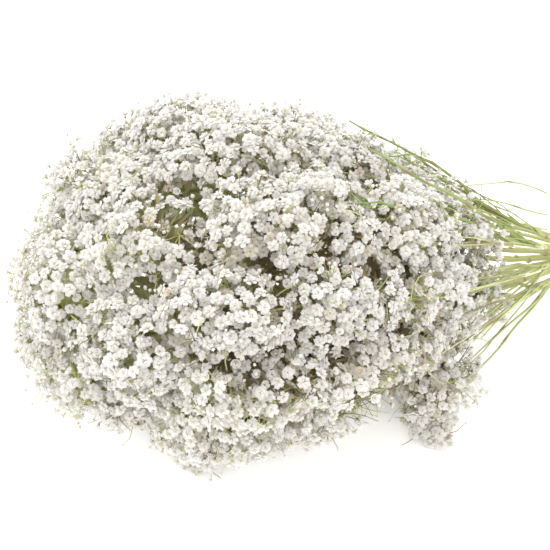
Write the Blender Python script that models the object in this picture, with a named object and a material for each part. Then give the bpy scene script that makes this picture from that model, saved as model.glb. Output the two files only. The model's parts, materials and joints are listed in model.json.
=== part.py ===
"""A bunch of gypsophila that lies on a table, tied with a rubber band.

Metres, +Z up. The flowers lie towards -X and the cut ends towards +X.
The origin is on the table, at the flat spot under the flowers.

Every stem grows from one point, the apex, once it is past the band. Each
spray owns the space round its own ray from that point, so no two meet.
"""
import math
import random

import bmesh
import bpy
import numpy as np

SEED = 7

# The fan of stems: distances along its axis are from the apex
STEM_PITCH = 0.0054
PITCH_EASING = 0.002
SPREAD = 0.185
FAN_START = 0.030
CUT_END = -0.130
CUT_HEIGHT = 0.0116
SITE_LEAN = 0.17
STEM_BOW = 0.10
SPLIT_BY_RING = (0.245, 0.175, 0.110)
SPLIT_SWING = 0.006
BEHIND_SPLIT = 0.002
CUT_SWING = 0.010
JOINT_PLACE = 0.064
JOINT_SWING = 0.009
JOINT_HALF_LENGTH = 0.004
STEM_RADIUS = 0.0021
STEM_TOP_RADIUS = 0.0016
JOINT_SWELL = 1.28
STEM_SIDES = 5

# The outline of the flowers
HALF_WIDTH = 0.1525
FLATTENING = 0.845
APEX_TO_TIP = 0.518
APEX_TO_WIDEST = 0.372
TAIL_START = 0.030
FLOWERS_START = 0.118
WIDEST_HEIGHT = 0.1254
DROOP = 0.036
TAIL_POWER = 1.21
TAIL_POWER_SWING = 0.10
WIDE_SIDE = math.radians(28.0)
TIP_BLUNTNESS = 1.8
TIP_POWER = 0.577
LUMP_DEPTH = 0.012
LUMP_REACH = 0.030
RIPPLE_DEPTH = 0.005
RIPPLES_PER_METRE = 60.0
PRESSED_BELOW = 0.0015

# The low spray on the near side that hangs to the table
LOW_SPRAY_CENTRE = (0.152, -0.086, 0.030)
LOW_SPRAY_HALF_SIZE = (0.036, 0.030, 0.027)

# The flowers, each one larger than life
FLORET_RADIUS = 0.0176
FLORET_AREA = 0.00120
SMALLER_FLORETS = (1.0, 0.8, 0.62)
CANDIDATES = 9000
RELAXING_ROUNDS = 12
NOTCH = 0.74
CROWN = 0.0030
PETAL_LIFT = 0.0012
CALYX_DEPTH = 0.0050
CALYX_RADIUS = 0.0016
STALK_RADIUS = 0.0007
HUB_RADIUS = 0.0028
TRUNK_RADIUS = 0.0016
BRANCH_RADIUS = 0.0009
FLORETS_PER_HUB = 5.0
HUB_ROUNDS = 8
FACE_SHARES = (0.60, 0.60, 0.16)
LEAST_FACING = 0.35
HUB_DEPTH = 0.030
HUB_LEAST_DEPTH = 0.015
HUB_LEAST_HEIGHT = 0.012
HUB_OVERRUN = 0.0016
BRANCH_LEAN = 0.9
GAP = 0.0003
HAIR = 0.0001

# Leaves on the outer stems
LEAF_LENGTH = 0.028
LEAF_HALF_WIDTH = 0.0026
LEAF_THICKNESS = 0.0009
LEAF_BEND = 0.004
LEAF_LEAN = 0.42
LEAF_PAIR_OPENING = 0.5

# Linear colours of petals, stems and rubber
PETAL_COLOUR = (0.80, 0.78, 0.71)
STEM_COLOUR = (0.36, 0.42, 0.16)
RUBBER_COLOUR = (0.55, 0.38, 0.17)

# The rubber band
BAND_PLACE = -0.010
BAND_HALF_WIDTH = 0.0045
BAND_THICKNESS = 0.0016
BAND_SIDES = 24

SLOPE = math.asin((WIDEST_HEIGHT - CUT_HEIGHT) / (APEX_TO_WIDEST - CUT_END))
AXIS = np.array([-math.cos(SLOPE), 0.0, math.sin(SLOPE)])
SIDE = np.array([0.0, 1.0, 0.0])
UP = np.array([math.sin(SLOPE), 0.0, math.cos(SLOPE)])
APEX = np.array([0.0, 0.0, WIDEST_HEIGHT]) - AXIS * APEX_TO_WIDEST


def unit(vector):
    return vector / np.linalg.norm(vector)


def fan(along, sideways, upwards):
    """A point of the fan; the bunch is flattened by its own weight."""
    return APEX + AXIS * along + SIDE * sideways + UP * (upwards * FLATTENING)


def stem_places():
    """One stem in the middle, six round it, twelve round those."""
    places = [(0.0, 0.0)]
    for radius, start in ((1.0, 0), (2.0, 0), (math.sqrt(3.0), 30)):
        for step in range(6):
            angle = math.radians(start + 60 * step)
            places.append((radius * math.cos(angle), radius * math.sin(angle)))
    return np.array(places)


def stem_leans(count):
    """How far each stem leans out of the even pattern once it is past the band."""
    dice = random.Random(SEED)
    leans = []
    for _ in range(count):
        angle = dice.uniform(0.0, 2.0 * math.pi)
        reach = SITE_LEAN * dice.uniform(0.3, 1.0)
        leans.append((reach * math.cos(angle), reach * math.sin(angle)))
    return np.array(leans)


PLACES = stem_places()
LEANS = stem_leans(len(PLACES))
RINGS = [0] + [1] * 6 + [2] * 12


def cell_walls(index):
    """Planes through the apex, halfway to every other stem; the cell is inside all."""
    sites = SPREAD * (PLACES + LEANS)
    walls = []
    for other in range(len(sites)):
        if other == index:
            continue
        step = sites[other] - sites[index]
        middle = (sites[other] @ sites[other] - sites[index] @ sites[index]) / 2.0
        outwards = SIDE * step[0] + UP * (step[1] / FLATTENING) - AXIS * middle
        walls.append(-unit(outwards))
    return np.array(walls)


CELLS = [cell_walls(index) for index in range(len(PLACES))]


def clearance(index, points):
    """Distance of each point to the nearest wall of a cell, below 0 outside it."""
    return ((np.atleast_2d(points) - APEX) @ CELLS[index].T).min(axis=1)


def owner(point):
    """The spray whose cell a point lies in."""
    return max(range(len(CELLS)), key=lambda index: clearance(index, point)[0])


def split_at(index):
    """Where a stem ends and its spray starts."""
    return SPLIT_BY_RING[RINGS[index]] + SPLIT_SWING * math.sin(2.4 * index)


def stem_point(index, along):
    """A point of a stem's centre line."""
    reach = SPREAD * along
    pitch = 0.5 * (STEM_PITCH + reach + math.hypot(STEM_PITCH - reach, PITCH_EASING))
    leaning = SPREAD * max(0.0, along - FAN_START)
    share = (along - FAN_START) / (split_at(index) - FAN_START)
    bow = STEM_BOW * pitch * math.sin(math.pi * min(1.0, max(0.0, share)))
    offset = PLACES[index] * pitch + LEANS[index] * leaning
    turn = 1.9 * index
    return fan(along, offset[0] + bow * math.cos(turn), offset[1] + bow * math.sin(turn))


def outline_point(along, angle):
    """A point of the outline; the side next to the table narrows first."""
    if along < APEX_TO_WIDEST:
        share = (along - TAIL_START) / (APEX_TO_WIDEST - TAIL_START)
        power = TAIL_POWER - TAIL_POWER_SWING * math.cos(angle - WIDE_SIDE)
        reach = HALF_WIDTH * math.sin(0.5 * math.pi * share) ** power
        sunk = 0.0
    else:
        share = (along - APEX_TO_WIDEST) / (APEX_TO_TIP - APEX_TO_WIDEST)
        reach = HALF_WIDTH * max(0.0, 1.0 - share ** TIP_BLUNTNESS) ** TIP_POWER
        sunk = DROOP * share ** 2
    return fan(along, reach * math.cos(angle), reach * math.sin(angle) - sunk)


def outline_patch(along, angle):
    """The outline's outward normal at a point, and its area for each metre and radian."""
    step = 0.0005
    turn = 0.01
    lengthwise = outline_point(along + step, angle) - outline_point(along - step, angle)
    around = outline_point(along, angle + turn) - outline_point(along, angle - turn)
    patch = np.cross(lengthwise, around)
    area = np.linalg.norm(patch)
    return patch / area, area / (4.0 * step * turn)


def lump(index, point, phase):
    """How deep the outline sinks at a point, more where two sprays meet."""
    wall = clearance(index, point)[0]
    depth = LUMP_DEPTH * max(0.0, 1.0 - wall / LUMP_REACH)
    along = (point - APEX) @ AXIS
    return depth + RIPPLE_DEPTH * math.sin(along * RIPPLES_PER_METRE + phase)


def low_spray_share(point):
    """Below 1 inside the low spray's egg shape, above 1 outside it."""
    return float(np.linalg.norm((point - np.array(LOW_SPRAY_CENTRE)) / LOW_SPRAY_HALF_SIZE))


def outline_spots():
    """Seeded spots all over the outline and the low spray: place, normal and area."""
    dice = random.Random(SEED + 1)
    spots = []
    longest = APEX_TO_TIP - 0.001 - FLOWERS_START
    share = longest * 2.0 * math.pi / CANDIDATES
    for _ in range(CANDIDATES):
        along = FLOWERS_START + longest * dice.random()
        angle = dice.uniform(0.0, 2.0 * math.pi)
        normal, area = outline_patch(along, angle)
        point = outline_point(along, angle)
        index = owner(point)
        point = point - normal * lump(index, point, 2.3 * index)
        if low_spray_share(point) > 1.0:
            spots.append((point, normal, area * share))
    count = CANDIDATES // 12
    size = np.array(LOW_SPRAY_HALF_SIZE)
    for _ in range(count):
        height = dice.uniform(-1.0, 1.0)
        angle = dice.uniform(0.0, 2.0 * math.pi)
        flat = math.sqrt(1.0 - height * height)
        outwards = np.array([flat * math.cos(angle), flat * math.sin(angle), height])
        point = np.array(LOW_SPRAY_CENTRE) + outwards * size
        area = 4.0 * math.pi * float(size.prod()) ** (2.0 / 3.0) / count
        spots.append((point, unit(outwards / size), area))
    return spots


def settled(point, normal):
    """A spot below the table lies on it instead, its face pressed flat."""
    if point[2] < PRESSED_BELOW:
        return np.array([point[0], point[1], 0.0]), np.array([0.0, 0.0, -1.0]), True
    return point, normal, False


def middles_of(places, weights, count, rounds):
    """Middles of that many groups of places, and the group that each place is in."""
    chosen = [int(np.argmax(places[:, 0]))]
    while len(chosen) < count:
        gaps = np.min([np.linalg.norm(places - places[one], axis=1) for one in chosen], axis=0)
        chosen.append(int(np.argmax(gaps)))
    middles = places[chosen]
    for _ in range(rounds):
        nearest = np.argmin(np.linalg.norm(places[:, None] - middles[None], axis=2), axis=1)
        for group in range(count):
            own = nearest == group
            if own.any():
                middles[group] = np.average(places[own], axis=0, weights=weights[own])
    return middles, nearest


def spread_evenly(spots, count):
    """Picks spots a like distance apart: each moves to the middle of what is nearest."""
    places = np.array([spot[0] for spot in spots])
    areas = np.array([spot[3] for spot in spots])
    middles, _ = middles_of(places, areas, count, RELAXING_ROUNDS)
    picked = {int(np.argmin(np.linalg.norm(places - middle, axis=1))) for middle in middles}
    return [spots[number][:3] for number in sorted(picked)]


def grow_sprays():
    """Florets of every spray: each is a place, a normal and whether it is pressed flat."""
    owned = [[] for _ in PLACES]
    for spot, slant, area in outline_spots():
        point, normal, flat = settled(spot, slant)
        index = owner(point)
        if (point - APEX) @ AXIS > split_at(index) + BEHIND_SPLIT:
            owned[index].append((point, normal, flat, area))
    sprays = []
    for spots in owned:
        total = sum(spot[3] for spot in spots)
        sprays.append(spread_evenly(spots, max(3, round(total / FLORET_AREA))))
    lowest = sprays[owner(np.zeros(3))]
    lowest.sort(key=lambda floret: float(np.linalg.norm(floret[0])))
    lowest[0] = (np.zeros(3), np.array([0.0, 0.0, -1.0]), True)
    return sprays


def grouped(florets):
    """Florets that share a hub: a few rounds of moving each hub to its middle."""
    places = np.array([floret[0] for floret in florets])
    count = max(2, round(len(florets) / FLORETS_PER_HUB))
    _, nearest = middles_of(places, np.ones(len(places)), count, HUB_ROUNDS)
    groups = []
    for group in range(count):
        members = [floret for floret, own in zip(florets, nearest) if own == group]
        if members:
            groups.append(members)
    return groups


def turned_out(florets, hub, dice):
    """The florets of one hub, each turned to face away from it."""
    turned = []
    for point, normal, flat in florets:
        turn = dice.uniform(0.0, 2.0 * math.pi)
        loose = np.array([dice.uniform(-1.0, 1.0) for _ in range(3)])
        if not flat:
            away = unit(point - hub)
            outwards, from_hub, chance = FACE_SHARES
            normal = unit(outwards * normal + from_hub * away + chance * loose)
            if normal @ away < LEAST_FACING:
                normal = unit(normal + away)
        turned.append((point, normal, flat, turn))
    return turned


def branching(index, florets, dice):
    """The trunk's two ends, and for each hub its foot, its place and its florets."""
    start = split_at(index)
    foot = stem_point(index, start + GAP)
    ray = unit(stem_point(index, start + 0.1) - foot)
    hubs = []
    for members in grouped(florets):
        middle = np.mean([floret[0] for floret in members], axis=0)
        reach = (middle - foot) @ ray
        lateral = np.linalg.norm(middle - foot - ray * reach)
        back = foot + ray * max(0.012, reach - BRANCH_LEAN * lateral)
        length = np.linalg.norm(middle - back)
        depth = min(HUB_DEPTH, max(HUB_LEAST_DEPTH, 0.45 * length))
        hub = middle + (back - middle) * (depth / length)
        hub[2] = max(hub[2], HUB_LEAST_HEIGHT)
        hubs.append((hub, members))
    hubs.sort(key=lambda pair: (pair[0] - foot) @ ray)
    top = hubs[-1][0]
    line = unit(top - foot)
    longest = np.linalg.norm(top - foot)
    arms = []
    for hub, members in hubs:
        reach = (hub - foot) @ line
        lateral = np.linalg.norm(hub - foot - line * reach)
        leave = min(longest - 0.004, max(0.010, reach - BRANCH_LEAN * lateral))
        arms.append((foot + line * leave, hub, turned_out(members, hub, dice)))
    return foot, top, arms


def material(name, colour, roughness):
    """A plain surface; the colour is red, green and blue as linear values."""
    made = bpy.data.materials.new(name)
    made.use_nodes = True
    surface = made.node_tree.nodes["Principled BSDF"]
    surface.inputs["Base Color"].default_value = (*colour, 1.0)
    surface.inputs["Roughness"].default_value = roughness
    surface.inputs["Metallic"].default_value = 0.0
    return made


def body(name, corners, faces):
    """A closed body from its corners and faces, its normals turned outwards."""
    mesh = bpy.data.meshes.new(name)
    mesh.from_pydata([tuple(corner) for corner in corners], [], faces)
    work = bmesh.new()
    work.from_mesh(mesh)
    bmesh.ops.recalc_face_normals(work, faces=work.faces)
    work.to_mesh(mesh)
    work.free()
    made = bpy.data.objects.new(name, mesh)
    bpy.context.scene.collection.objects.link(made)
    return made


def across(direction):
    """Two directions at right angles to the given one."""
    helper = np.array([0.0, 0.0, 1.0]) if abs(direction[2]) < 0.8 else np.array([1.0, 0.0, 0.0])
    first = unit(np.cross(helper, direction))
    return first, np.cross(direction, first)


def tube(name, points, radii, sides):
    """A closed tube along a line of points."""
    corners = []
    first, second = across(unit(points[1] - points[0]))
    for number, (point, radius) in enumerate(zip(points, radii)):
        before = points[max(0, number - 1)]
        after = points[min(len(points) - 1, number + 1)]
        forward = unit(after - before)
        first = unit(first - forward * (first @ forward))
        second = np.cross(forward, first)
        for side in range(sides):
            angle = 2.0 * math.pi * (side + 0.5) / sides
            spoke = first * math.cos(angle) + second * math.sin(angle)
            corners.append(point + spoke * radius)
    faces = []
    for ring in range(len(points) - 1):
        for side in range(sides):
            after = (side + 1) % sides
            low, high = ring * sides, (ring + 1) * sides
            faces.append((low + side, low + after, high + after, high + side))
    faces.append(tuple(reversed(range(sides))))
    faces.append(tuple(range((len(points) - 1) * sides, len(points) * sides)))
    return body(name, corners, faces)


def floret_corners(point, normal, flat, turn, radius):
    """Ten corners of a five-petalled star, its raised middle and its calyx ring."""
    first, second = across(normal)
    rim = []
    for step in range(10):
        angle = turn + math.pi * step / 5.0
        petal = step % 2 == 0
        reach = radius if petal else radius * NOTCH
        lift = PETAL_LIFT if petal and not flat else 0.0
        spoke = first * math.cos(angle) + second * math.sin(angle)
        rim.append(point + spoke * reach + normal * lift)
    crown = point + normal * (0.0 if flat else CROWN)
    calyx = []
    for step in range(3):
        angle = turn + 2.0 * math.pi * (step + 0.5) / 3.0
        spoke = first * math.cos(angle) + second * math.sin(angle)
        calyx.append(point - normal * CALYX_DEPTH + spoke * CALYX_RADIUS)
    return rim, crown, calyx


def nudged(index, floret):
    """The floret moved clear of its cell's walls and of the table, smaller if it must be."""
    walls = CELLS[index]
    for share in SMALLER_FLORETS:
        point, normal, flat, turn = floret
        radius = FLORET_RADIUS * share
        for _ in range(8):
            rim, crown, calyx = floret_corners(point, normal, flat, turn, radius)
            corners = np.array(rim + [crown] + calyx)
            room = (corners - APEX) @ walls.T
            wall = int(np.argmin(room.min(axis=0)))
            short = GAP - room[:, wall].min()
            low = 0.0 if flat else GAP - corners[:, 2].min()
            if short <= 0.0 and low <= 0.0:
                return point, normal, flat, turn, radius
            push = walls[wall] * max(0.0, short + HAIR)
            lift = np.array([0.0, 0.0, max(0.0, low + HAIR)])
            point = point + (push * (1.0, 1.0, 0.0) if flat else push + lift)
    return None


def floret_body(name, floret, hub):
    """A flower, the calyx behind it and the stalk down into its hub, as one body."""
    rim, crown, calyx = floret_corners(*floret)
    middle = np.mean(calyx, axis=0)
    stalk = unit(middle - hub)
    root = []
    for corner in calyx:
        spoke = corner - middle
        root.append(hub + unit(spoke - stalk * (spoke @ stalk)) * STALK_RADIUS)
    corners = rim + [crown] + calyx + root
    faces = [(step, (step + 1) % 10, 10) for step in range(10)]
    nearest = [11 + int((step + 0.5) * 0.3) for step in range(10)]
    for step in range(10):
        own, after = nearest[step], nearest[(step + 1) % 10]
        faces.append(((step + 1) % 10, step, own))
        if own != after:
            faces.append(((step + 1) % 10, own, after))
    for step in range(3):
        after = (step + 1) % 3
        faces.append((11 + step, 14 + step, 14 + after))
        faces.append((11 + step, 14 + after, 11 + after))
    faces.append((14, 16, 15))
    return body(name, corners, faces)


def fused(base, others):
    """All the pieces made one body; the pieces themselves are removed."""
    pieces = bpy.data.collections.new("pieces")
    bpy.context.scene.collection.children.link(pieces)
    for piece in others:
        bpy.context.scene.collection.objects.unlink(piece)
        pieces.objects.link(piece)
    union = base.modifiers.new("union", "BOOLEAN")
    union.operation = "UNION"
    union.operand_type = "COLLECTION"
    union.collection = pieces
    union.solver = "EXACT"
    seen = base.evaluated_get(bpy.context.evaluated_depsgraph_get())
    mesh = bpy.data.meshes.new_from_object(seen)
    base.modifiers.clear()
    base.data = mesh
    for piece in others:
        bpy.data.objects.remove(piece)
    bpy.data.collections.remove(pieces)
    return base


def flared(name, start, hub, radius, sides):
    """A branch that widens to a knot, from which its stalks leave."""
    past = hub + unit(hub - start) * HUB_OVERRUN
    return tube(name, [start, past], [radius, HUB_RADIUS], sides)


def make_head(index, florets):
    """One spray of flowers with its trunk, branches and stalks."""
    dice = random.Random(SEED + 100 + index)
    foot, top, arms = branching(index, florets, dice)
    trunk = flared(f"head_{index + 1:02d}", foot, top, TRUNK_RADIUS, 4)
    pieces = []
    for leave, hub, members in arms:
        if np.linalg.norm(hub - top) > HAIR:
            pieces.append(flared("branch", leave, hub, BRANCH_RADIUS, 3))
        for floret in members:
            clear = nudged(index, floret)
            if clear is not None:
                pieces.append(floret_body("floret", clear, hub))
    return fused(trunk, pieces)


def leaf_body(name, root, direction, outwards):
    """A narrow leaf with a ridge, its root sunk in the stem."""
    wide = unit(np.cross(direction, outwards))
    thick = unit(np.cross(wide, direction))
    corners = []
    shares = ((0.0, 0.35), (0.45, 1.0), (0.80, 0.60))
    for share, width in shares:
        bend = thick * (LEAF_BEND * share * share)
        middle = root + direction * (LEAF_LENGTH * share) + bend
        corners.append(middle + wide * (LEAF_HALF_WIDTH * width))
        corners.append(middle + thick * LEAF_THICKNESS)
        corners.append(middle - wide * (LEAF_HALF_WIDTH * width))
        corners.append(middle - thick * LEAF_THICKNESS * 0.5)
    corners.append(root + direction * LEAF_LENGTH + thick * LEAF_BEND)
    faces = [(3, 2, 1, 0)]
    for ring in range(2):
        for side in range(4):
            after = (side + 1) % 4
            low, high = 4 * ring, 4 * ring + 4
            faces.append((low + side, low + after, high + after, high + side))
    for side in range(4):
        faces.append((8 + side, 8 + (side + 1) % 4, 12))
    return body(name, corners, faces)


def make_stem(index):
    """One stem from its cut end to its spray, with a joint and, outside, two leaves."""
    top = split_at(index)
    joint = JOINT_PLACE + JOINT_SWING * math.sin(1.7 * index)
    cut = CUT_END + CUT_SWING * math.sin(2.9 * index)
    stations = [cut, BAND_PLACE + BAND_HALF_WIDTH, 0.018, 0.034, 0.050]
    stations += [joint - JOINT_HALF_LENGTH, joint, joint + JOINT_HALF_LENGTH]
    if top - joint > 0.06:
        stations.append(0.5 * (joint + top))
    stations.append(top)
    points = [stem_point(index, along) for along in stations]
    radii = []
    for along in stations:
        share = max(0.0, along - FAN_START) / (top - FAN_START)
        radius = STEM_RADIUS + (STEM_TOP_RADIUS - STEM_RADIUS) * share
        radii.append(radius * (JOINT_SWELL if along == joint else 1.0))
    stem = tube(f"stem_{index + 1:02d}", points, radii, STEM_SIDES)
    if RINGS[index] < 2:
        return stem
    root = stem_point(index, joint)
    forward = unit(stem_point(index, joint + 0.01) - root)
    outwards = PLACES[index][0] * SIDE + PLACES[index][1] * UP
    outwards = unit(outwards - forward * (outwards @ forward))
    sideways = np.cross(forward, outwards)
    leaves = []
    for side in (-1.0, 1.0):
        lean = unit(outwards + side * LEAF_PAIR_OPENING * sideways)
        direction = unit(forward + LEAF_LEAN * lean)
        start = root + (forward * 7.0 + sideways * 4.0) * side * HAIR
        leaves.append(leaf_body("leaf", start, direction, lean))
    return fused(stem, leaves)


def band_outline(clear):
    """A loop that runs round the tied stems at a distance."""
    middle = APEX + AXIS * BAND_PLACE
    held = []
    for index in range(len(PLACES)):
        for along in (BAND_PLACE - BAND_HALF_WIDTH, BAND_PLACE + BAND_HALF_WIDTH):
            offset = stem_point(index, along) - middle
            held.append((offset @ SIDE, offset @ UP))
    held = np.array(held)
    lines = []
    for side in range(BAND_SIDES):
        angle = 2.0 * math.pi * (side + 0.5) / BAND_SIDES
        way = np.array([math.cos(angle), math.sin(angle)])
        lines.append((way, float((held @ way).max()) + clear))
    loop = []
    for side in range(BAND_SIDES):
        (way, reach), (next_way, next_reach) = lines[side], lines[(side + 1) % BAND_SIDES]
        loop.append(np.linalg.solve(np.array([way, next_way]), np.array([reach, next_reach])))
    return loop


def make_band():
    """The rubber band, clear of the stems by a hair."""
    inner = band_outline(STEM_RADIUS + GAP)
    outer = band_outline(STEM_RADIUS + GAP + BAND_THICKNESS)
    middle = APEX + AXIS * BAND_PLACE
    corners = []
    for loop, along in ((inner, -1), (outer, -1), (outer, 1), (inner, 1)):
        for sideways, upwards in loop:
            flat = SIDE * sideways + UP * upwards
            corners.append(middle + flat + AXIS * (along * BAND_HALF_WIDTH))
    faces = []
    for ring in range(4):
        for side in range(BAND_SIDES):
            after = (side + 1) % BAND_SIDES
            low, high = ring * BAND_SIDES, ((ring + 1) % 4) * BAND_SIDES
            faces.append((low + side, low + after, high + after, high + side))
    return body("band", corners, faces)


def main():
    for left in list(bpy.context.scene.objects):
        bpy.data.objects.remove(left)
    petals = material("petals", PETAL_COLOUR, 0.75)
    green = material("stem_skin", STEM_COLOUR, 0.55)
    rubber = material("rubber", RUBBER_COLOUR, 0.50)
    sprays = grow_sprays()
    for index in range(len(PLACES)):
        make_stem(index).data.materials.append(green)
        make_head(index, sprays[index]).data.materials.append(petals)
    make_band().data.materials.append(rubber)


main()
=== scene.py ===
"""The looks of a bunch of gypsophila that lies on a table.

Metres, +Z up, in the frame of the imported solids. The sprays grow by the same
rule and seeds as the solids do, and where a solid has one large flower, a
cluster of small double flowers grows here, on stalks that fork from its hub.
"""
import json
import math
import random

import bmesh
import bpy
import mathutils
import numpy as np
from bpy.props import FloatProperty, FloatVectorProperty, IntProperty, PointerProperty
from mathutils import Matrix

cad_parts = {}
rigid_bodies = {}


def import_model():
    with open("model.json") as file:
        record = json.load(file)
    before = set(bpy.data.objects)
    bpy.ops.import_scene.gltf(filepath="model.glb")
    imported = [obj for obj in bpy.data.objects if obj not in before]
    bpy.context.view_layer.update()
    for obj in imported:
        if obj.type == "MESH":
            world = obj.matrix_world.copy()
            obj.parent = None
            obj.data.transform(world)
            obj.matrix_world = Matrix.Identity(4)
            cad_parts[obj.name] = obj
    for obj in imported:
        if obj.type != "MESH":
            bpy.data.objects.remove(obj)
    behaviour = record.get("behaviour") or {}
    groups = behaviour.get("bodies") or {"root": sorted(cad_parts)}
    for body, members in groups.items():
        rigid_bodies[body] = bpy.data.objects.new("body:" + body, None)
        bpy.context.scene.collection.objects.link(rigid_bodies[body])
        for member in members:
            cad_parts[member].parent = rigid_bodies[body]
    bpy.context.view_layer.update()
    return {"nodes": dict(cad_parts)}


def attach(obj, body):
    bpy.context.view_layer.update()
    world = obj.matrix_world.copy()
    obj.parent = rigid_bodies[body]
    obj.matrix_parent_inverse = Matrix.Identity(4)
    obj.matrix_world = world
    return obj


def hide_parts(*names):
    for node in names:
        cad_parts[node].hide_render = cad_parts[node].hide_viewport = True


bl_info = {
    "name": "Gypsophila Bunch",
    "version": (1, 0, 0),
    "blender": (4, 5, 0),
    "location": "3D View > Sidebar > Gypsophila",
    "description": "Flowers, stalks, band and stage of a bunch of gypsophila on a table",
    "category": "Object",
}

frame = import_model()

SEED = 7

# The fan of stems: distances along its axis are from the apex
STEM_PITCH = 0.0054
PITCH_EASING = 0.002
SPREAD = 0.185
FAN_START = 0.030
CUT_END = -0.130
CUT_HEIGHT = 0.0116
SITE_LEAN = 0.17
STEM_BOW = 0.10
SPLIT_BY_RING = (0.245, 0.175, 0.110)
SPLIT_SWING = 0.006
BEHIND_SPLIT = 0.002
CUT_SWING = 0.010
JOINT_PLACE = 0.064
JOINT_SWING = 0.009
STEM_RADIUS = 0.0021
STEM_TOP_RADIUS = 0.0016

# The outline of the flowers
HALF_WIDTH = 0.1525
FLATTENING = 0.845
APEX_TO_TIP = 0.518
APEX_TO_WIDEST = 0.372
TAIL_START = 0.030
FLOWERS_START = 0.118
WIDEST_HEIGHT = 0.1254
DROOP = 0.036
TAIL_POWER = 1.21
TAIL_POWER_SWING = 0.10
WIDE_SIDE = math.radians(28.0)
TIP_BLUNTNESS = 1.8
TIP_POWER = 0.577
LUMP_DEPTH = 0.012
LUMP_REACH = 0.030
RIPPLE_DEPTH = 0.005
RIPPLES_PER_METRE = 60.0
PRESSED_BELOW = 0.0015
LOW_SPRAY_CENTRE = (0.152, -0.086, 0.030)
LOW_SPRAY_HALF_SIZE = (0.036, 0.030, 0.027)

# The solid's large flowers, which say where the clusters are
FLORET_RADIUS = 0.0176
FLORET_AREA = 0.00120
SMALLER_FLORETS = (1.0, 0.8, 0.62)
CANDIDATES = 9000
RELAXING_ROUNDS = 12
NOTCH = 0.74
CROWN = 0.0030
PETAL_LIFT = 0.0012
CALYX_DEPTH = 0.0050
CALYX_RADIUS = 0.0016
FLORETS_PER_HUB = 5.0
HUB_ROUNDS = 8
FACE_SHARES = (0.60, 0.60, 0.16)
LEAST_FACING = 0.35
HUB_DEPTH = 0.030
HUB_LEAST_DEPTH = 0.015
HUB_LEAST_HEIGHT = 0.012
BRANCH_LEAN = 0.9
GAP = 0.0003
LEAST_HEIGHT = 0.00005
HAIR = 0.0001

# The bundle between the band and the flowers
STEM_STATIONS = (-0.100, -0.060, -0.020, 0.0, 0.018, 0.034, 0.050)
STATION_STEP = 0.020
JOINT_HALF_LENGTH = 0.004
STEM_WANDER = (0.0003, 0.0008)
BUNDLE_SWELL = 0.009
BUNDLE_SAG = 0.004
SWELL_END = 0.13

# Long side branches of a stem; the top row's are greener, and there are more of them
TOP_ROW = 0.8
TOP_ROW_BRANCHES = 8
OTHER_BRANCHES = 5
BRANCHES_REACH = 0.34
BRANCH_LEAST_HEIGHT = 0.02
SIDE_BRANCH_DEPTH = (-0.001, 0.005)
SIDE_BRANCH_BULGE = (0.002, 0.012)

# The clusters of small flowers: how they fork
CLUSTER_REACH = 0.0215
CLUSTER_SWING = 0.005
ROOT_DEPTH = 0.019
ROOT_LEAST_HEIGHT = 0.006
FORK_DEPTH = 0.011
FORK_REACH = 0.60
FORK_LEAST_HEIGHT = 0.004
CLUMP_SWING = 0.0035
PRESSED_LIFT = 0.010
PRESSED_SLANT = 0.25

# Where their flowers and buds are, and which way they face
DOME_CROWN = 0.003
DOME_FALL = 0.008
DOME_SWING = 0.0022
PLACE_SWING = 0.0012
PULL_TOGETHER = 0.94
DEEP_DEPTHS = (0.008, 0.019)
DEEP_BELOW = -0.007
DEEP_IN_LIGHT = 1.5
DEEP_LOSS_IN_SHADE = 0.6
BUD_REACH = 1.1
BUD_HEIGHTS = (-0.006, 0.007)
TALL_BUD_CHANCE = 0.30
TALL_BUD_LENGTHS = (0.018, 0.026)
LOOSE_FACING = 0.72
NORMAL_PULL = 0.35
SKYWARD = np.array([0.0, 0.0, 0.25])
GOLDEN_ANGLE = math.radians(137.508)

# How single flowers and buds vary; fade is 0 for fresh white and 1 for dry tan, and on the deep flowers
# it also holds painted shade
FLOWER_WIDTH = 0.0096
FLOWER_SIZES = (0.86, 1.12)
FADED_SHARE = 0.012
LOW_FADED_SHARE = 0.10
LOW_BELOW = 0.035
FADED_FROM = 0.55
FRESH_FADE = 0.25
# The deep flowers' tan of painted shade, fullest where shade_at is 1
DEEP_SHADE_TAN = 0.55
BUD_SIZES = (0.8, 1.15)
BUD_FADE = 0.3
BUD_WIDTH = 0.4
BUD_FOOT = 0.0004
CUP_LENGTH = 0.25
HANGING_DEPTH = 0.003

# The parts of a petal's length up to its waist and past it, and its thickness
PETAL_FIRST_PART = 0.55
PETAL_LAST_PART = 0.45
PETAL_THICKNESS = 0.035

# A narrow leaf, on the flower's scale, with its width at four places of its length
LEAF_LENGTH = 3.0
LEAF_HALF_WIDTH = 0.19
LEAF_THICKNESS = 0.06
LEAF_BEND = 0.35
LEAF_WIDTHS = ((0.0, 0.35), (0.2, 0.8), (0.45, 1.0), (0.80, 0.55))

# Radius of each kind of stalk where it starts and where it ends
FLOWER_STALK = (0.0003, 0.00026)
FORK_STALK = (0.00045, 0.00035)
ROOT_STALK = (0.0007, 0.0005)
HUB_STALK = (0.0011, 0.0007)
SIDE_BRANCH = (0.0008, 0.00045)
SURFACE_TWIG = (0.00062, 0.0003)
INNER_TWIG = (0.0004, 0.0002)
STRAY_TWIG = (0.0005, 0.0010)
OUTER_BRANCH = (0.0017, 0.0008)
OUTER_TWIG = (0.0006, 0.0003)
LOW_BRANCH = (0.0018, 0.0006)

# How far each kind bows to one side, as a share of its length
TRUNK_BOW = 0.02
HUB_BOW = 0.06
ROOT_BOW = 0.10
FORK_BOW = 0.12
SURFACE_TWIG_BOW = 0.18
STRAY_BOW = 0.03
OUTER_BOW = 0.04
LOW_BOW = 0.03
TRUNK_STEP = 0.030

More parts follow.
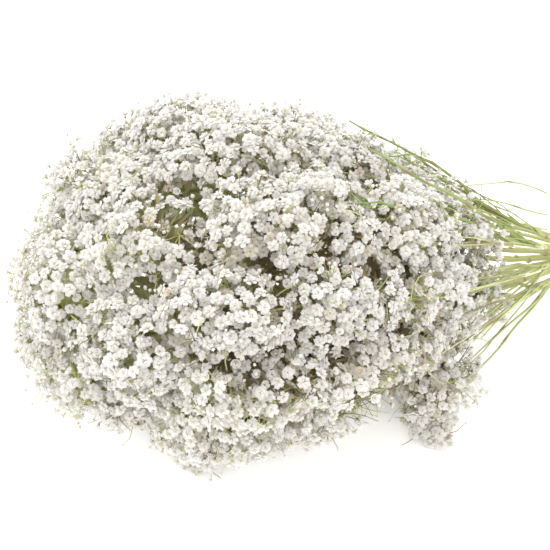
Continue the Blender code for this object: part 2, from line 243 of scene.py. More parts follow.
# Tints, from -1 for a young green branch to 1 for an old brown twig
TOP_ROW_TINTS = (-0.9, 0.3)
OTHER_TINTS = (-0.4, 0.8)
SURFACE_TWIG_TINTS = (-0.3, 1.0)
STRAY_TINTS = (-0.2, 0.4)
OUTER_TINTS = (-1.0, -0.5)
LOW_TINTS = (-0.6, 0.2)

# Twigs and leaves under the flowers and between them
INNER_TWIGS = 3
TWIG_LENGTHS = (0.012, 0.022)
TWIG_LEAST_HEIGHT = 0.003
SURFACE_TWIG_LENGTHS = (0.014, 0.028)
SURFACE_TWIG_RISES = (0.007, 0.015)
TWIGGY_FROM = 0.03
TWIGGY_EXTRA = 2
TWIG_BUD_CHANCE = 0.5
TWIG_BUD_SIZES = (0.5, 0.9)
INNER_LEAF_SIZES = (0.5, 0.85)
CORE_LEAF_SIZES = (0.8, 1.2)
LEAF_SCATTER = 0.004
CORE_LEAF_REACH = 0.034
CORE_LEAF_MARGIN = 0.020
LEAF_MARGIN = 0.007
LEAVES_FROM = 0.160
LOW_SPRAY_INSIDE = 0.75

# The outline of the small flowers against the solid's
INSET = 0.003
TIP_PUSH = 0.008
TIP_FROM = 0.455

# Painted shade inside the bunch, brown on its leaves and tan on its deep flowers, less towards the far
# side and the tip: y of the far side, x of the tip
FAR_SIDE = (-0.01, 0.06)
TIP_END = (-0.04, -0.10)
SHADE_LOSS = 0.85

# Gaps between the flowers: how wide one is left, and where more flowers are left out
GAP_WIDTH = 0.0054
DEEP_ROOM = 0.0062
DEEPER = (0.006, 0.012)
FORK_TOO_FAR = 0.040
TAIL_THINNING = 0.48
TAIL_FULL_FROM = 0.245
HOLLOW_SINK = 0.016
HOLLOW_LOSS = 0.65
BARE_LOSS = 0.9

# The stage: the lights' places and sizes, what they and the camera look at, and the floor
KEY_PLACE = (-0.02, 0.22, 1.45)
KEY_SIZE = 0.7
FILL_PLACE = (-1.10, 0.40, 0.90)
FILL_SIZE = 0.9
LIT_PLACE = (0.05, 0.0, 0.10)
SEEN_PLACE = (0.0509, 0.0, 0.1111)
SENSOR_WIDTH = 36.0
FLOOR_HALF_WIDTH = 6.0

# Places where the bunch opens on its dark inside: centre and radius
HOLLOWS = (
    ((-0.045, -0.050, 0.214), 0.017),
    ((-0.006, -0.058, 0.231), 0.012),
    ((0.047, -0.082, 0.231), 0.013),
    ((0.089, -0.067, 0.220), 0.013),
    ((-0.026, -0.157, 0.146), 0.014),
    ((0.080, -0.150, 0.106), 0.025),
    ((0.062, -0.149, 0.082), 0.023),
)

# Where the head ends in bare twigs next to the low spray: centre and radius
BARE_PARTS = (
    ((0.052, -0.155, 0.098), 0.019),
    ((0.064, -0.138, 0.076), 0.022),
    ((0.078, -0.118, 0.050), 0.024),
    ((0.088, -0.100, 0.026), 0.026),
    ((0.084, -0.135, 0.082), 0.016),
    ((0.095, -0.112, 0.050), 0.020),
    ((0.106, -0.092, 0.020), 0.020),
)

# Bare twigs that stray from the top of the fan: where they leave their stem, and their route
STRAY_STEM = 8
STRAY_TWIGS = (
    (0.176, (0.205, 0.030, 0.130), (0.231, 0.035, 0.123), (0.256, 0.035, 0.122), (0.291, 0.035, 0.116),
     (0.335, 0.034, 0.093)),
    (0.160, (0.215, 0.025, 0.118), (0.244, 0.030, 0.111), (0.263, 0.030, 0.108), (0.299, 0.030, 0.091),
     (0.335, 0.028, 0.073)),
    (0.134, (0.235, 0.018, 0.100), (0.261, 0.020, 0.089), (0.283, 0.020, 0.085), (0.305, 0.020, 0.076),
     (0.329, 0.018, 0.065)),
)

# Long green branches that lie over the flowers: the stem, where they leave it, and their route
OUTER_BRANCHES = (
    (14, 0.075, ((0.250, 0.002, 0.119), (0.223, 0.006, 0.147), (0.190, 0.006, 0.177),
                 (0.165, 0.008, 0.194), (0.142, 0.006, 0.211), (0.117, 0.012, 0.228))),
    (9, 0.085, ((0.250, -0.026, 0.111), (0.225, -0.036, 0.138), (0.195, -0.042, 0.165),
                (0.165, -0.046, 0.189), (0.140, -0.040, 0.206), (0.122, -0.016, 0.216))),
    (9, 0.120, ((0.215, -0.040, 0.134), (0.165, -0.056, 0.170), (0.131, -0.068, 0.190),
                (0.100, -0.070, 0.209), (0.070, -0.066, 0.214))),
    (14, 0.100, ((0.240, 0.010, 0.125), (0.215, 0.016, 0.148), (0.190, 0.014, 0.171),
                 (0.160, -0.004, 0.197), (0.135, -0.020, 0.210))),
    (8, 0.090, ((0.252, 0.028, 0.108), (0.222, 0.032, 0.136), (0.196, 0.028, 0.158),
                (0.172, 0.022, 0.180))),
)

# The numbers of those that also carry narrow leaves
LEAFY_BRANCHES = (0, 2)

# Long stalks on the near side that droop to the low spray
LOW_BRANCHES = (
    (16, 0.040, ((0.300, -0.024, 0.028), (0.272, -0.040, 0.026), (0.240, -0.058, 0.024),
                 (0.208, -0.074, 0.020), (0.176, -0.092, 0.014))),
    (16, 0.050, ((0.288, -0.034, 0.036), (0.258, -0.048, 0.036), (0.226, -0.062, 0.036),
                 (0.192, -0.076, 0.032))),
    (11, 0.045, ((0.298, -0.024, 0.040), (0.268, -0.036, 0.043), (0.236, -0.050, 0.045),
                 (0.204, -0.064, 0.044), (0.174, -0.078, 0.044))),
    (11, 0.060, ((0.280, -0.034, 0.046), (0.250, -0.049, 0.050), (0.220, -0.063, 0.054),
                 (0.190, -0.080, 0.056))),
    (15, 0.050, ((0.293, -0.026, 0.055), (0.262, -0.040, 0.061), (0.232, -0.056, 0.066),
                 (0.200, -0.072, 0.070))),
    (15, 0.070, ((0.270, -0.044, 0.063), (0.240, -0.064, 0.068), (0.210, -0.082, 0.074),
                 (0.182, -0.100, 0.078))),
)

# Small clusters on the far shoulder of the head, and the place their stalks start
SHOULDER = ((-0.090, 0.050, 0.213), (-0.082, 0.061, 0.217), (-0.095, 0.060, 0.206))
SHOULDER_HUB = (-0.072, 0.045, 0.186)
SHOULDER_SLANT = (-0.5, 0.3, 0.8)

# The tip of the low spray: small clusters close to the table, and the place their stalks start
LOW_TIP = (
    (0.131, -0.116, 0.012), (0.138, -0.124, 0.010), (0.130, -0.106, 0.020), (0.146, -0.117, 0.018),
)
LOW_TIP_HUB = (0.148, -0.096, 0.030)
LOW_TIP_SLANT = (-0.2, -0.7, 0.6)

# What a place carries: its number picks the shape
FLOWER_KINDS = (0, 1, 2, 3)
FLOWER_SHARES = (0.42, 0.24, 0.22, 0.12)
SMALL_FLOWER = 4
BUD = 5
STEM, LINE, CALYX, LEAF, INNER_LEAF = range(5)

SLOPE = math.asin((WIDEST_HEIGHT - CUT_HEIGHT) / (APEX_TO_WIDEST - CUT_END))
AXIS = np.array([-math.cos(SLOPE), 0.0, math.sin(SLOPE)])
SIDE = np.array([0.0, 1.0, 0.0])
UP = np.array([math.sin(SLOPE), 0.0, math.cos(SLOPE)])
APEX = np.array([0.0, 0.0, WIDEST_HEIGHT]) - AXIS * APEX_TO_WIDEST


def linear(code):
    """Linear red, green and blue of an sRGB hex colour."""
    values = []
    for start in (0, 2, 4):
        value = int(code[start:start + 2], 16) / 255.0
        values.append(value / 12.92 if value <= 0.04045 else ((value + 0.055) / 1.055) ** 2.4)
    return tuple(values)


def unit(vector):
    """The same direction with a length of 1."""
    return vector / np.linalg.norm(vector)


def across(direction):
    """Two directions at right angles to the given one."""
    helper = np.array([0.0, 0.0, 1.0]) if abs(direction[2]) < 0.8 else np.array([1.0, 0.0, 0.0])
    first = unit(np.cross(helper, direction))
    return first, np.cross(direction, first)


def fan(along, sideways, upwards):
    """A point of the fan; the bunch is flattened by its own weight."""
    return APEX + AXIS * along + SIDE * sideways + UP * (upwards * FLATTENING)


def stem_places():
    """One stem in the middle, six round it, twelve round those."""
    places = [(0.0, 0.0)]
    for radius, start in ((1.0, 0), (2.0, 0), (math.sqrt(3.0), 30)):
        for step in range(6):
            angle = math.radians(start + 60 * step)
            places.append((radius * math.cos(angle), radius * math.sin(angle)))
    return np.array(places)


def stem_leans(count):
    """How far each stem leans out of the even pattern once it is past the band."""
    dice = random.Random(SEED)
    leans = []
    for _ in range(count):
        angle = dice.uniform(0.0, 2.0 * math.pi)
        reach = SITE_LEAN * dice.uniform(0.3, 1.0)
        leans.append((reach * math.cos(angle), reach * math.sin(angle)))
    return np.array(leans)


PLACES = stem_places()
LEANS = stem_leans(len(PLACES))
RINGS = [0] + [1] * 6 + [2] * 12


def cell_walls(index):
    """Planes through the apex, halfway to every other stem; the cell is inside all."""
    sites = SPREAD * (PLACES + LEANS)
    walls = []
    for other in range(len(sites)):
        if other == index:
            continue
        step = sites[other] - sites[index]
        middle = (sites[other] @ sites[other] - sites[index] @ sites[index]) / 2.0
        outwards = SIDE * step[0] + UP * (step[1] / FLATTENING) - AXIS * middle
        walls.append(-unit(outwards))
    return np.array(walls)


CELLS = [cell_walls(index) for index in range(len(PLACES))]


def clearance(index, points):
    """Distance of each point to the nearest wall of a cell, below 0 outside it."""
    return ((np.atleast_2d(points) - APEX) @ CELLS[index].T).min(axis=1)


def owner(point):
    """The spray whose cell a point lies in."""
    return max(range(len(CELLS)), key=lambda index: clearance(index, point)[0])


def split_at(index):
    """Where a stem ends and its spray starts."""
    return SPLIT_BY_RING[RINGS[index]] + SPLIT_SWING * math.sin(2.4 * index)


def joint_at(index):
    """Where a stem has its joint."""
    return JOINT_PLACE + JOINT_SWING * math.sin(1.7 * index)


def stem_point(index, along):
    """A point of a stem's centre line."""
    reach = SPREAD * along
    pitch = 0.5 * (STEM_PITCH + reach + math.hypot(STEM_PITCH - reach, PITCH_EASING))
    leaning = SPREAD * max(0.0, along - FAN_START)
    share = (along - FAN_START) / (split_at(index) - FAN_START)
    bow = STEM_BOW * pitch * math.sin(math.pi * min(1.0, max(0.0, share)))
    offset = PLACES[index] * pitch + LEANS[index] * leaning
    turn = 1.9 * index
    return fan(along, offset[0] + bow * math.cos(turn), offset[1] + bow * math.sin(turn))


def stalk_point(index, along):
    """The same line where the tied bundle swells a little between band and flowers."""
    share = min(1.0, max(0.0, along / SWELL_END))
    bulge = 4.0 * share * (1.0 - share)
    sideways, upwards = 0.5 * BUNDLE_SWELL * bulge * PLACES[index]
    return stem_point(index, along) + SIDE * sideways + UP * (upwards - BUNDLE_SAG * bulge)


def outline_point(along, angle):
    """A point of the outline; the side next to the table narrows first."""
    if along < APEX_TO_WIDEST:
        share = (along - TAIL_START) / (APEX_TO_WIDEST - TAIL_START)
        power = TAIL_POWER - TAIL_POWER_SWING * math.cos(angle - WIDE_SIDE)
        reach = HALF_WIDTH * math.sin(0.5 * math.pi * share) ** power
        sunk = 0.0
    else:
        share = (along - APEX_TO_WIDEST) / (APEX_TO_TIP - APEX_TO_WIDEST)
        reach = HALF_WIDTH * max(0.0, 1.0 - share ** TIP_BLUNTNESS) ** TIP_POWER
        sunk = DROOP * share ** 2
    return fan(along, reach * math.cos(angle), reach * math.sin(angle) - sunk)


def outline_patch(along, angle):
    """The outline's outward normal at a point, and its area for each metre and radian."""
    step = 0.0005
    turn = 0.01
    lengthwise = outline_point(along + step, angle) - outline_point(along - step, angle)
    around = outline_point(along, angle + turn) - outline_point(along, angle - turn)
    patch = np.cross(lengthwise, around)
    area = np.linalg.norm(patch)
    return patch / area, area / (4.0 * step * turn)


def inside_by(point):
    """How far a point lies inside the outline, across the bunch; below 0 outside it."""
    step = point - APEX
    along = step @ AXIS
    if not TAIL_START < along < APEX_TO_TIP:
        return -1.0
    past = max(0.0, (along - APEX_TO_WIDEST) / (APEX_TO_TIP - APEX_TO_WIDEST))
    upwards = step @ UP / FLATTENING + DROOP * past ** 2
    rim = outline_point(along, math.atan2(upwards, step @ SIDE)) - APEX
    reach = math.hypot(rim @ SIDE, rim @ UP / FLATTENING + DROOP * past ** 2)
    return reach - math.hypot(step @ SIDE, upwards)


def lump(index, point, phase):
    """How deep the outline sinks at a point, more where two sprays meet."""
    wall = clearance(index, point)[0]
    depth = LUMP_DEPTH * max(0.0, 1.0 - wall / LUMP_REACH)
    along = (point - APEX) @ AXIS
    return depth + RIPPLE_DEPTH * math.sin(along * RIPPLES_PER_METRE + phase)


def low_spray_share(point):
    """Below 1 inside the low spray's egg shape, above 1 outside it."""
    return float(np.linalg.norm((point - np.array(LOW_SPRAY_CENTRE)) / LOW_SPRAY_HALF_SIZE))


def outline_spots():
    """Seeded spots all over the outline and the low spray: place, normal and area."""
    dice = random.Random(SEED + 1)
    spots = []
    longest = APEX_TO_TIP - 0.001 - FLOWERS_START
    share = longest * 2.0 * math.pi / CANDIDATES
    for _ in range(CANDIDATES):
        along = FLOWERS_START + longest * dice.random()
        angle = dice.uniform(0.0, 2.0 * math.pi)
        normal, area = outline_patch(along, angle)
        point = outline_point(along, angle)
        index = owner(point)
        point = point - normal * lump(index, point, 2.3 * index)
        if low_spray_share(point) > 1.0:
            spots.append((point, normal, area * share))
    count = CANDIDATES // 12
    size = np.array(LOW_SPRAY_HALF_SIZE)
    for _ in range(count):
        height = dice.uniform(-1.0, 1.0)
        angle = dice.uniform(0.0, 2.0 * math.pi)
        flat = math.sqrt(1.0 - height * height)
        outwards = np.array([flat * math.cos(angle), flat * math.sin(angle), height])
        point = np.array(LOW_SPRAY_CENTRE) + outwards * size
        area = 4.0 * math.pi * float(size.prod()) ** (2.0 / 3.0) / count
        spots.append((point, unit(outwards / size), area))
    return spots


def settled(point, normal):
    """A spot below the table lies on it instead, its face pressed flat."""
    if point[2] < PRESSED_BELOW:
        return np.array([point[0], point[1], 0.0]), np.array([0.0, 0.0, -1.0]), True
    return point, normal, False


def middles_of(places, weights, count, rounds):
    """Middles of that many groups of places, and the group that each place is in."""
    chosen = [int(np.argmax(places[:, 0]))]
    while len(chosen) < count:
        gaps = np.min([np.linalg.norm(places - places[one], axis=1) for one in chosen], axis=0)
        chosen.append(int(np.argmax(gaps)))
    middles = places[chosen]
    for _ in range(rounds):
        nearest = np.argmin(np.linalg.norm(places[:, None] - middles[None], axis=2), axis=1)
        for group in range(count):
            own = nearest == group
            if own.any():
                middles[group] = np.average(places[own], axis=0, weights=weights[own])
    return middles, nearest


def spread_evenly(spots, count):
    """Picks spots a like distance apart: each moves to the middle of what is nearest."""
    places = np.array([spot[0] for spot in spots])
    areas = np.array([spot[3] for spot in spots])
    middles, _ = middles_of(places, areas, count, RELAXING_ROUNDS)
    picked = {int(np.argmin(np.linalg.norm(places - middle, axis=1))) for middle in middles}
    return [spots[number][:3] for number in sorted(picked)]


def grow_sprays():
    """Clusters of every spray: each is a place, a normal and whether it is pressed flat."""
    owned = [[] for _ in PLACES]
    for spot, slant, area in outline_spots():
        point, normal, flat = settled(spot, slant)
        index = owner(point)
        if (point - APEX) @ AXIS > split_at(index) + BEHIND_SPLIT:
            owned[index].append((point, normal, flat, area))
    sprays = []
    for spots in owned:
        total = sum(spot[3] for spot in spots)
        sprays.append(spread_evenly(spots, max(3, round(total / FLORET_AREA))))
    lowest = sprays[owner(np.zeros(3))]
    lowest.sort(key=lambda floret: float(np.linalg.norm(floret[0])))
    lowest[0] = (np.zeros(3), np.array([0.0, 0.0, -1.0]), True)
    return sprays


def grouped(florets):
    """Clusters that share a hub: a few rounds of moving each hub to its middle."""
    places = np.array([floret[0] for floret in florets])
    count = max(2, round(len(florets) / FLORETS_PER_HUB))
    _, nearest = middles_of(places, np.ones(len(places)), count, HUB_ROUNDS)
    groups = []
    for group in range(count):
        members = [floret for floret, own in zip(florets, nearest) if own == group]
        if members:
            groups.append(members)
    return groups


def turned_out(florets, hub, dice):
    """The clusters of one hub, each turned to face away from it."""
    turned = []
    for point, normal, flat in florets:
        turn = dice.uniform(0.0, 2.0 * math.pi)
        swing = loose(dice)
        if not flat:
            away = unit(point - hub)
            outwards, from_hub, chance = FACE_SHARES
            normal = unit(outwards * normal + from_hub * away + chance * swing)
            if normal @ away < LEAST_FACING:
                normal = unit(normal + away)
        turned.append((point, normal, flat, turn))
    return turned


def branching(index, florets, dice):
    """The trunk's two ends, and for each hub its foot, its place and its clusters."""
    start = split_at(index)
    foot = stem_point(index, start + GAP)
    ray = unit(stem_point(index, start + 0.1) - foot)
    hubs = []
    for members in grouped(florets):
        middle = np.mean([floret[0] for floret in members], axis=0)
        reach = (middle - foot) @ ray
        lateral = np.linalg.norm(middle - foot - ray * reach)
        back = foot + ray * max(0.012, reach - BRANCH_LEAN * lateral)
        length = np.linalg.norm(middle - back)
        depth = min(HUB_DEPTH, max(HUB_LEAST_DEPTH, 0.45 * length))
        hub = middle + (back - middle) * (depth / length)
        hub[2] = max(hub[2], HUB_LEAST_HEIGHT)
        hubs.append((hub, members))
    hubs.sort(key=lambda pair: (pair[0] - foot) @ ray)
    top = hubs[-1][0]
    line = unit(top - foot)
    longest = np.linalg.norm(top - foot)
    arms = []
    for hub, members in hubs:
        reach = (hub - foot) @ line
        lateral = np.linalg.norm(hub - foot - line * reach)
        leave = min(longest - 0.004, max(0.010, reach - BRANCH_LEAN * lateral))
        arms.append((foot + line * leave, hub, turned_out(members, hub, dice)))
    return foot, top, arms


def floret_corners(point, normal, flat, turn, radius):
    """The solid flower's corners, which keep inside its cell."""
    first, second = across(normal)
    corners = []
    for step in range(10):
        angle = turn + math.pi * step / 5.0
        petal = step % 2 == 0
        reach = radius if petal else radius * NOTCH
        lift = PETAL_LIFT if petal and not flat else 0.0
        spoke = first * math.cos(angle) + second * math.sin(angle)
        corners.append(point + spoke * reach + normal * lift)
    corners.append(point + normal * (0.0 if flat else CROWN))
    for step in range(3):
        angle = turn + 2.0 * math.pi * (step + 0.5) / 3.0
        spoke = first * math.cos(angle) + second * math.sin(angle)
        corners.append(point - normal * CALYX_DEPTH + spoke * CALYX_RADIUS)
    return np.array(corners)


def nudged(index, floret):
    """The place moved clear of its cell's walls and of the table, as the solid's is."""
    walls = CELLS[index]
    for share in SMALLER_FLORETS:
        point, normal, flat, turn = floret
        radius = FLORET_RADIUS * share
        for _ in range(8):
            corners = floret_corners(point, normal, flat, turn, radius)
            room = (corners - APEX) @ walls.T
            wall = int(np.argmin(room.min(axis=0)))
            short = GAP - room[:, wall].min()
            low = 0.0 if flat else GAP - corners[:, 2].min()
            if short <= 0.0 and low <= 0.0:
                return point, normal, flat, turn, radius
            push = walls[wall] * max(0.0, short + HAIR)
            lift = np.array([0.0, 0.0, max(0.0, low + HAIR)])
            point = point + (push * (1.0, 1.0, 0.0) if flat else push + lift)
    return None


class Growth:
    """Lines and places of one piece, kept as lists until its mesh is made."""

    def __init__(self):
        self.points = []
        self.edges = []
        self.facings = []
        self.values = {"kind": [], "size": [], "tint": [], "knuckle": []}

    def add(self, point, facing, kind, size, tint, knuckle=0.0):
        """One place; a line's size is its radius, any other's a share of its shape."""
        self.points.append(tuple(point))
        self.facings.append(tuple(facing))
        for name, value in (("kind", kind), ("size", size), ("tint", tint), ("knuckle", knuckle)):
            self.values[name].append(float(value))

    def line(self, points, start, end, tint, knuckles=(), kind=LINE):
        """A stalk through the points that tapers; it is thick and brown at its knuckles."""
        first = len(self.points)
        last = len(points) - 1
        for number, point in enumerate(points):
            radius = start + (end - start) * number / last
            brown = 1.0 if number in knuckles else 0.0
            self.add(point, AXIS, kind, radius * (1.0 + 0.3 * brown), tint, brown)
            if number:
                self.edges.append((first + number - 1, first + number))

    def carrier(self, name):
        """A mesh of the lines and places, with their values as attributes."""
        mesh = bpy.data.meshes.new(name)
        mesh.from_pydata(self.points, self.edges, [])
        for key, values in self.values.items():
            mesh.attributes.new(key, "FLOAT", "POINT").data.foreach_set("value", values)
        facing = mesh.attributes.new("facing", "FLOAT_VECTOR", "POINT")
        facing.data.foreach_set("vector", np.array(self.facings, dtype=float).ravel())
        made = bpy.data.objects.new(name, mesh)
        bpy.context.scene.collection.objects.link(made)
        return made


def loose(dice):
    """A seeded direction of any length up to about 1."""
    return np.array([dice.uniform(-1.0, 1.0) for _ in range(3)])


def bowed(start, end, swing, dice, steps):
    """Points of a stalk that bends to one side by a share of its length."""
    way = end - start
    side = loose(dice) * (swing * np.linalg.norm(way))
    points = []
    for step in range(steps + 1):
        share = step / steps
        points.append(start + way * share + side * (4.0 * share * (1.0 - share)))
    return points


def above_table(point, facing, width):
    """The place lifted until a flower that faces that way clears the table."""
    sideways = math.sqrt(max(0.0, 1.0 - facing[2] ** 2))
    lowest = 0.5 * width * sideways + HANGING_DEPTH * max(0.0, -facing[2]) + GAP
    return np.array([point[0], point[1], max(point[2], lowest)])


def depth_in(holes, point):
    """1 at the middle of one of the holes, 0 outside all of them."""
    depth = 0.0
    for centre, radius in holes:
        away = np.linalg.norm(point - np.array(centre)) / radius
        depth = max(depth, 1.0 - away)
    return depth


def inset_at(point):
    """How far the flowers keep inside the outline; at the blunt tip they stand out of it."""
    along = (point - APEX) @ AXIS
    share = min(1.0, max(0.0, (along - TIP_FROM) / (APEX_TO_TIP - TIP_FROM)))
    return INSET - TIP_PUSH * share


def shade_at(point):
    """1 where the inside is painted with brown shade, less on the far side and at the tip."""
    far = (point[1] - FAR_SIDE[0]) / (FAR_SIDE[1] - FAR_SIDE[0])
    tip = (point[0] - TIP_END[0]) / (TIP_END[1] - TIP_END[0])
    return 1.0 - SHADE_LOSS * min(1.0, max(0.0, far, tip))


def thinning(point):
    """Share of the flowers that grow there; they are sparse next to the bare stems."""
    along = (point - APEX) @ AXIS
    share = (along - FLOWERS_START) / (TAIL_FULL_FROM - FLOWERS_START)
    return TAIL_THINNING + (1.0 - TAIL_THINNING) * min(1.0, max(0.0, share))


def flower(place, facing, fork, tint, flowers, stalks, sizes, dice, shade_tan=0.0):
    """A flower on its own stalk, with the green cup behind it; faded ones are tanner, and deep ones
    also take a tan of painted shade.
    """
    place = above_table(place, facing, sizes.flower_width)
    faded = dice.random() < (LOW_FADED_SHARE if place[2] < LOW_BELOW else FADED_SHARE)
    # A deep flower's fade starts from its tan of painted shade
    fade_and_shade = dice.uniform(FADED_FROM, 1.0) if faded else shade_tan + FRESH_FADE * dice.random() ** 2
    kind = SMALL_FLOWER if shade_tan else dice.choices(FLOWER_KINDS, FLOWER_SHARES)[0]
    size = dice.uniform(*FLOWER_SIZES)
    flowers.add(place, facing, kind, size, fade_and_shade)
    end = place - facing * (CUP_LENGTH * size * sizes.flower_width)
    stalks.line([fork, end], *FLOWER_STALK, tint)
    stalks.add(place, facing, CALYX, size, tint)


def bud(place, facing, fork, tint, flowers, stalks, sizes, dice):
    """A round bud on its own stalk."""
    place = above_table(place, facing, BUD_WIDTH * sizes.flower_width)
    flowers.add(place, facing, BUD, dice.uniform(*BUD_SIZES), BUD_FADE * dice.random())
    stalks.line([fork, place - facing * BUD_FOOT], *FLOWER_STALK, tint)


def cluster_forks(point, normal, turn, share, root, tint, stalks, dice):
    """Four forks round the middle and one on it, each with how far it is raised."""
    first, second = across(normal)
    reach = CLUSTER_REACH * share
    forks = []
    for number in range(5):
        angle = turn + math.pi * 0.5 * number
        out = 0.0 if number == 4 else FORK_REACH * reach
        spoke = first * math.cos(angle) + second * math.sin(angle)
        raised = dice.uniform(-CLUMP_SWING, CLUMP_SWING)
        fork = point + spoke * out - normal * (FORK_DEPTH - raised + DOME_FALL * (out / reach) ** 2)
        fork[2] = max(fork[2], FORK_LEAST_HEIGHT)
        forks.append((fork, raised))
        stalks.line(bowed(root, fork, FORK_BOW, dice, 2), *FORK_STALK, tint)
    return forks


def cluster_places(point, turn, share, sizes, dice):
    """Angle, reach and height of each flower and bud, and whether it is a bud."""
    reach = CLUSTER_REACH * share
    full = share ** 2 * thinning(point)
    places = []
    for number in range(max(4, round(sizes.flowers_in_cluster * full))):
        out = reach * math.sqrt((number + 0.5) / (sizes.flowers_in_cluster * full))
        height = DOME_CROWN - DOME_FALL * (out / reach) ** 2 + dice.gauss(0.0, DOME_SWING)
        places.append((turn + GOLDEN_ANGLE * number, out, height, False))
    fewer = DEEP_IN_LIGHT - DEEP_LOSS_IN_SHADE * shade_at(point)
    for _ in range(round(sizes.deep_flowers * full * fewer)):
        out = reach * math.sqrt(dice.random())
        places.append((dice.uniform(0.0, 2.0 * math.pi), out, -dice.uniform(*DEEP_DEPTHS), False))
    for _ in range(round(sizes.buds_in_cluster * share ** 2)):
        out = reach * BUD_REACH * math.sqrt(dice.random())
        places.append((dice.uniform(0.0, 2.0 * math.pi), out, dice.uniform(*BUD_HEIGHTS), True))
    return places


def inner_growth(hub, root, normal, stalks, sizes, dice, tint):
    """Short twigs and narrow leaves under a cluster, which darken its gaps."""
    for _ in range(INNER_TWIGS):
        way = unit(loose(dice) + 0.2 * normal)
        tip = root + way * dice.uniform(*TWIG_LENGTHS)
        tip[2] = max(tip[2], TWIG_LEAST_HEIGHT)
        stalks.line([root, tip], *INNER_TWIG, tint)
    for _ in range(sizes.inner_leaves):
        place = root + (hub - root) * dice.uniform(-0.1, 0.9) + loose(dice) * LEAF_SCATTER
        way = loose(dice)
        way = unit(way - normal * (0.75 * (way @ normal)))
        size = dice.uniform(*INNER_LEAF_SIZES)
        if hidden(place, place + way * (CORE_LEAF_REACH * size), LEAF_MARGIN):
            # The leaf's tint is painted shade: brown where shade_at is 1, greener on the far side and
            # at the tip
            stalks.add(place, way, INNER_LEAF, size, shade_at(place))


def outer_growth(point, forks, normal, flowers, stalks, sizes, dice, tint):
    """Bare twigs that lie between the flowers of a cluster, and a bud that stands out."""
    for _ in range(sizes.surface_twigs + (TWIGGY_EXTRA if point[0] > TWIGGY_FROM else 0)):
        fork = forks[dice.randrange(5)][0]
        way = loose(dice)
        way = unit(way - normal * (way @ normal))
        length = dice.uniform(*SURFACE_TWIG_LENGTHS)
        tip = fork + way * length + normal * dice.uniform(*SURFACE_TWIG_RISES)
        if tip[2] > FORK_LEAST_HEIGHT:
            twig = dice.uniform(*SURFACE_TWIG_TINTS)
            stalks.line(bowed(fork, tip, SURFACE_TWIG_BOW, dice, 3), *SURFACE_TWIG, twig)
            if dice.random() < TWIG_BUD_CHANCE:
                flowers.add(tip, unit(way + normal), BUD, dice.uniform(*TWIG_BUD_SIZES), 0.5)
    if dice.random() < TALL_BUD_CHANCE:
        way = unit(normal + 0.5 * loose(dice))
        fork = forks[dice.randrange(5)][0]
        tip = fork + way * dice.uniform(*TALL_BUD_LENGTHS)
        if tip[2] > BRANCH_LEAST_HEIGHT:
            bud(tip, way, fork, tint, flowers, stalks, sizes, dice)


def cluster(floret, hub, flowers, stalks, sizes, dice):
    """One cluster: a root, its forks, and flowers and buds on their own stalks.

    Returns the forks, from which more flowers can grow.
    """
    point, normal, flat, turn, radius = floret
    share = radius / FLORET_RADIUS
    if flat:
        outwards = point - hub
        outwards[2] = max(outwards[2], -PRESSED_SLANT * np.linalg.norm(outwards))
        normal = unit(outwards)
        point = point + np.array([0.0, 0.0, PRESSED_LIFT])
    point = point + normal * (dice.uniform(-CLUSTER_SWING, CLUSTER_SWING) - inset_at(point))
    first, second = across(normal)
    root = point - normal * ROOT_DEPTH * share
    root[2] = max(root[2], ROOT_LEAST_HEIGHT)
    tint = dice.random()
    stalks.line(bowed(hub, root, ROOT_BOW, dice, 3), *ROOT_STALK, tint)
    forks = cluster_forks(point, normal, turn, share, root, tint, stalks, dice)
    for angle, out, height, budding in cluster_places(point, turn, share, sizes, dice):
        spoke = first * math.cos(angle) + second * math.sin(angle)
        place = point + spoke * out + normal * height + loose(dice) * PLACE_SWING
        fork, raised = min(forks, key=lambda pair: np.linalg.norm(pair[0] - place))
        place = place + normal * raised
        middle = fork + normal * ((place - fork) @ normal)
        place = middle + (place - middle) * PULL_TOGETHER
        if depth_in(BARE_PARTS, place) > 0.0 and dice.random() < BARE_LOSS:
            continue
        sunk = depth_in(HOLLOWS, place)
        if sunk > 0.0 and not budding:
            if dice.random() < HOLLOW_LOSS:
                continue
            place = place - normal * HOLLOW_SINK * min(1.0, 2.0 * sunk)
        facing = unit(
            unit(place - fork) + NORMAL_PULL * normal + LOOSE_FACING * loose(dice) + SKYWARD)
        if budding:
            bud(place, facing, fork, tint, flowers, stalks, sizes, dice)
        else:
            # Deep flowers take a tan of painted shade, as shade_at gives it
            shade_tan = DEEP_SHADE_TAN * shade_at(place) if height < DEEP_BELOW else 0.0
            flower(place, facing, fork, tint, flowers, stalks, sizes, dice, shade_tan)
    inner_growth(hub, root, normal, stalks, sizes, dice, tint)
    outer_growth(point, forks, normal, flowers, stalks, sizes, dice, tint)
    return [fork for fork, _ in forks]


def surface_branches(index, arms, stalks, dice):
    """Long side branches that leave a stem low down and run just under the flowers."""
    ends = [member[0] for _, _, members in arms for member in members]
    ends = [end for end in ends if end[2] > BRANCH_LEAST_HEIGHT]
    ends = [end for end in ends if (end - APEX) @ AXIS < BRANCHES_REACH]
    if not ends:
        return
    on_top = PLACES[index][1] > TOP_ROW
    for _ in range(TOP_ROW_BRANCHES if on_top else OTHER_BRANCHES):
        start = stalk_point(index, dice.uniform(joint_at(index), split_at(index)))
        end = ends[dice.randrange(len(ends))]
        outwards = end - APEX - AXIS * ((end - APEX) @ AXIS)
        end = end - unit(outwards) * (dice.uniform(*SIDE_BRANCH_DEPTH) + INSET)
        bulge = unit(outwards) * dice.uniform(*SIDE_BRANCH_BULGE)
        points = []
        for step in range(7):
            share = step / 6
            curve = bulge * 4.0 * share * (1.0 - share)
            points.append(start + (end - start) * share + curve + loose(dice) * PLACE_SWING)
        knuckles = (2,) if dice.random() < 0.5 else (3,)
        tint = dice.uniform(*(TOP_ROW_TINTS if on_top else OTHER_TINTS))
        stalks.line(points, *SIDE_BRANCH, tint, knuckles)


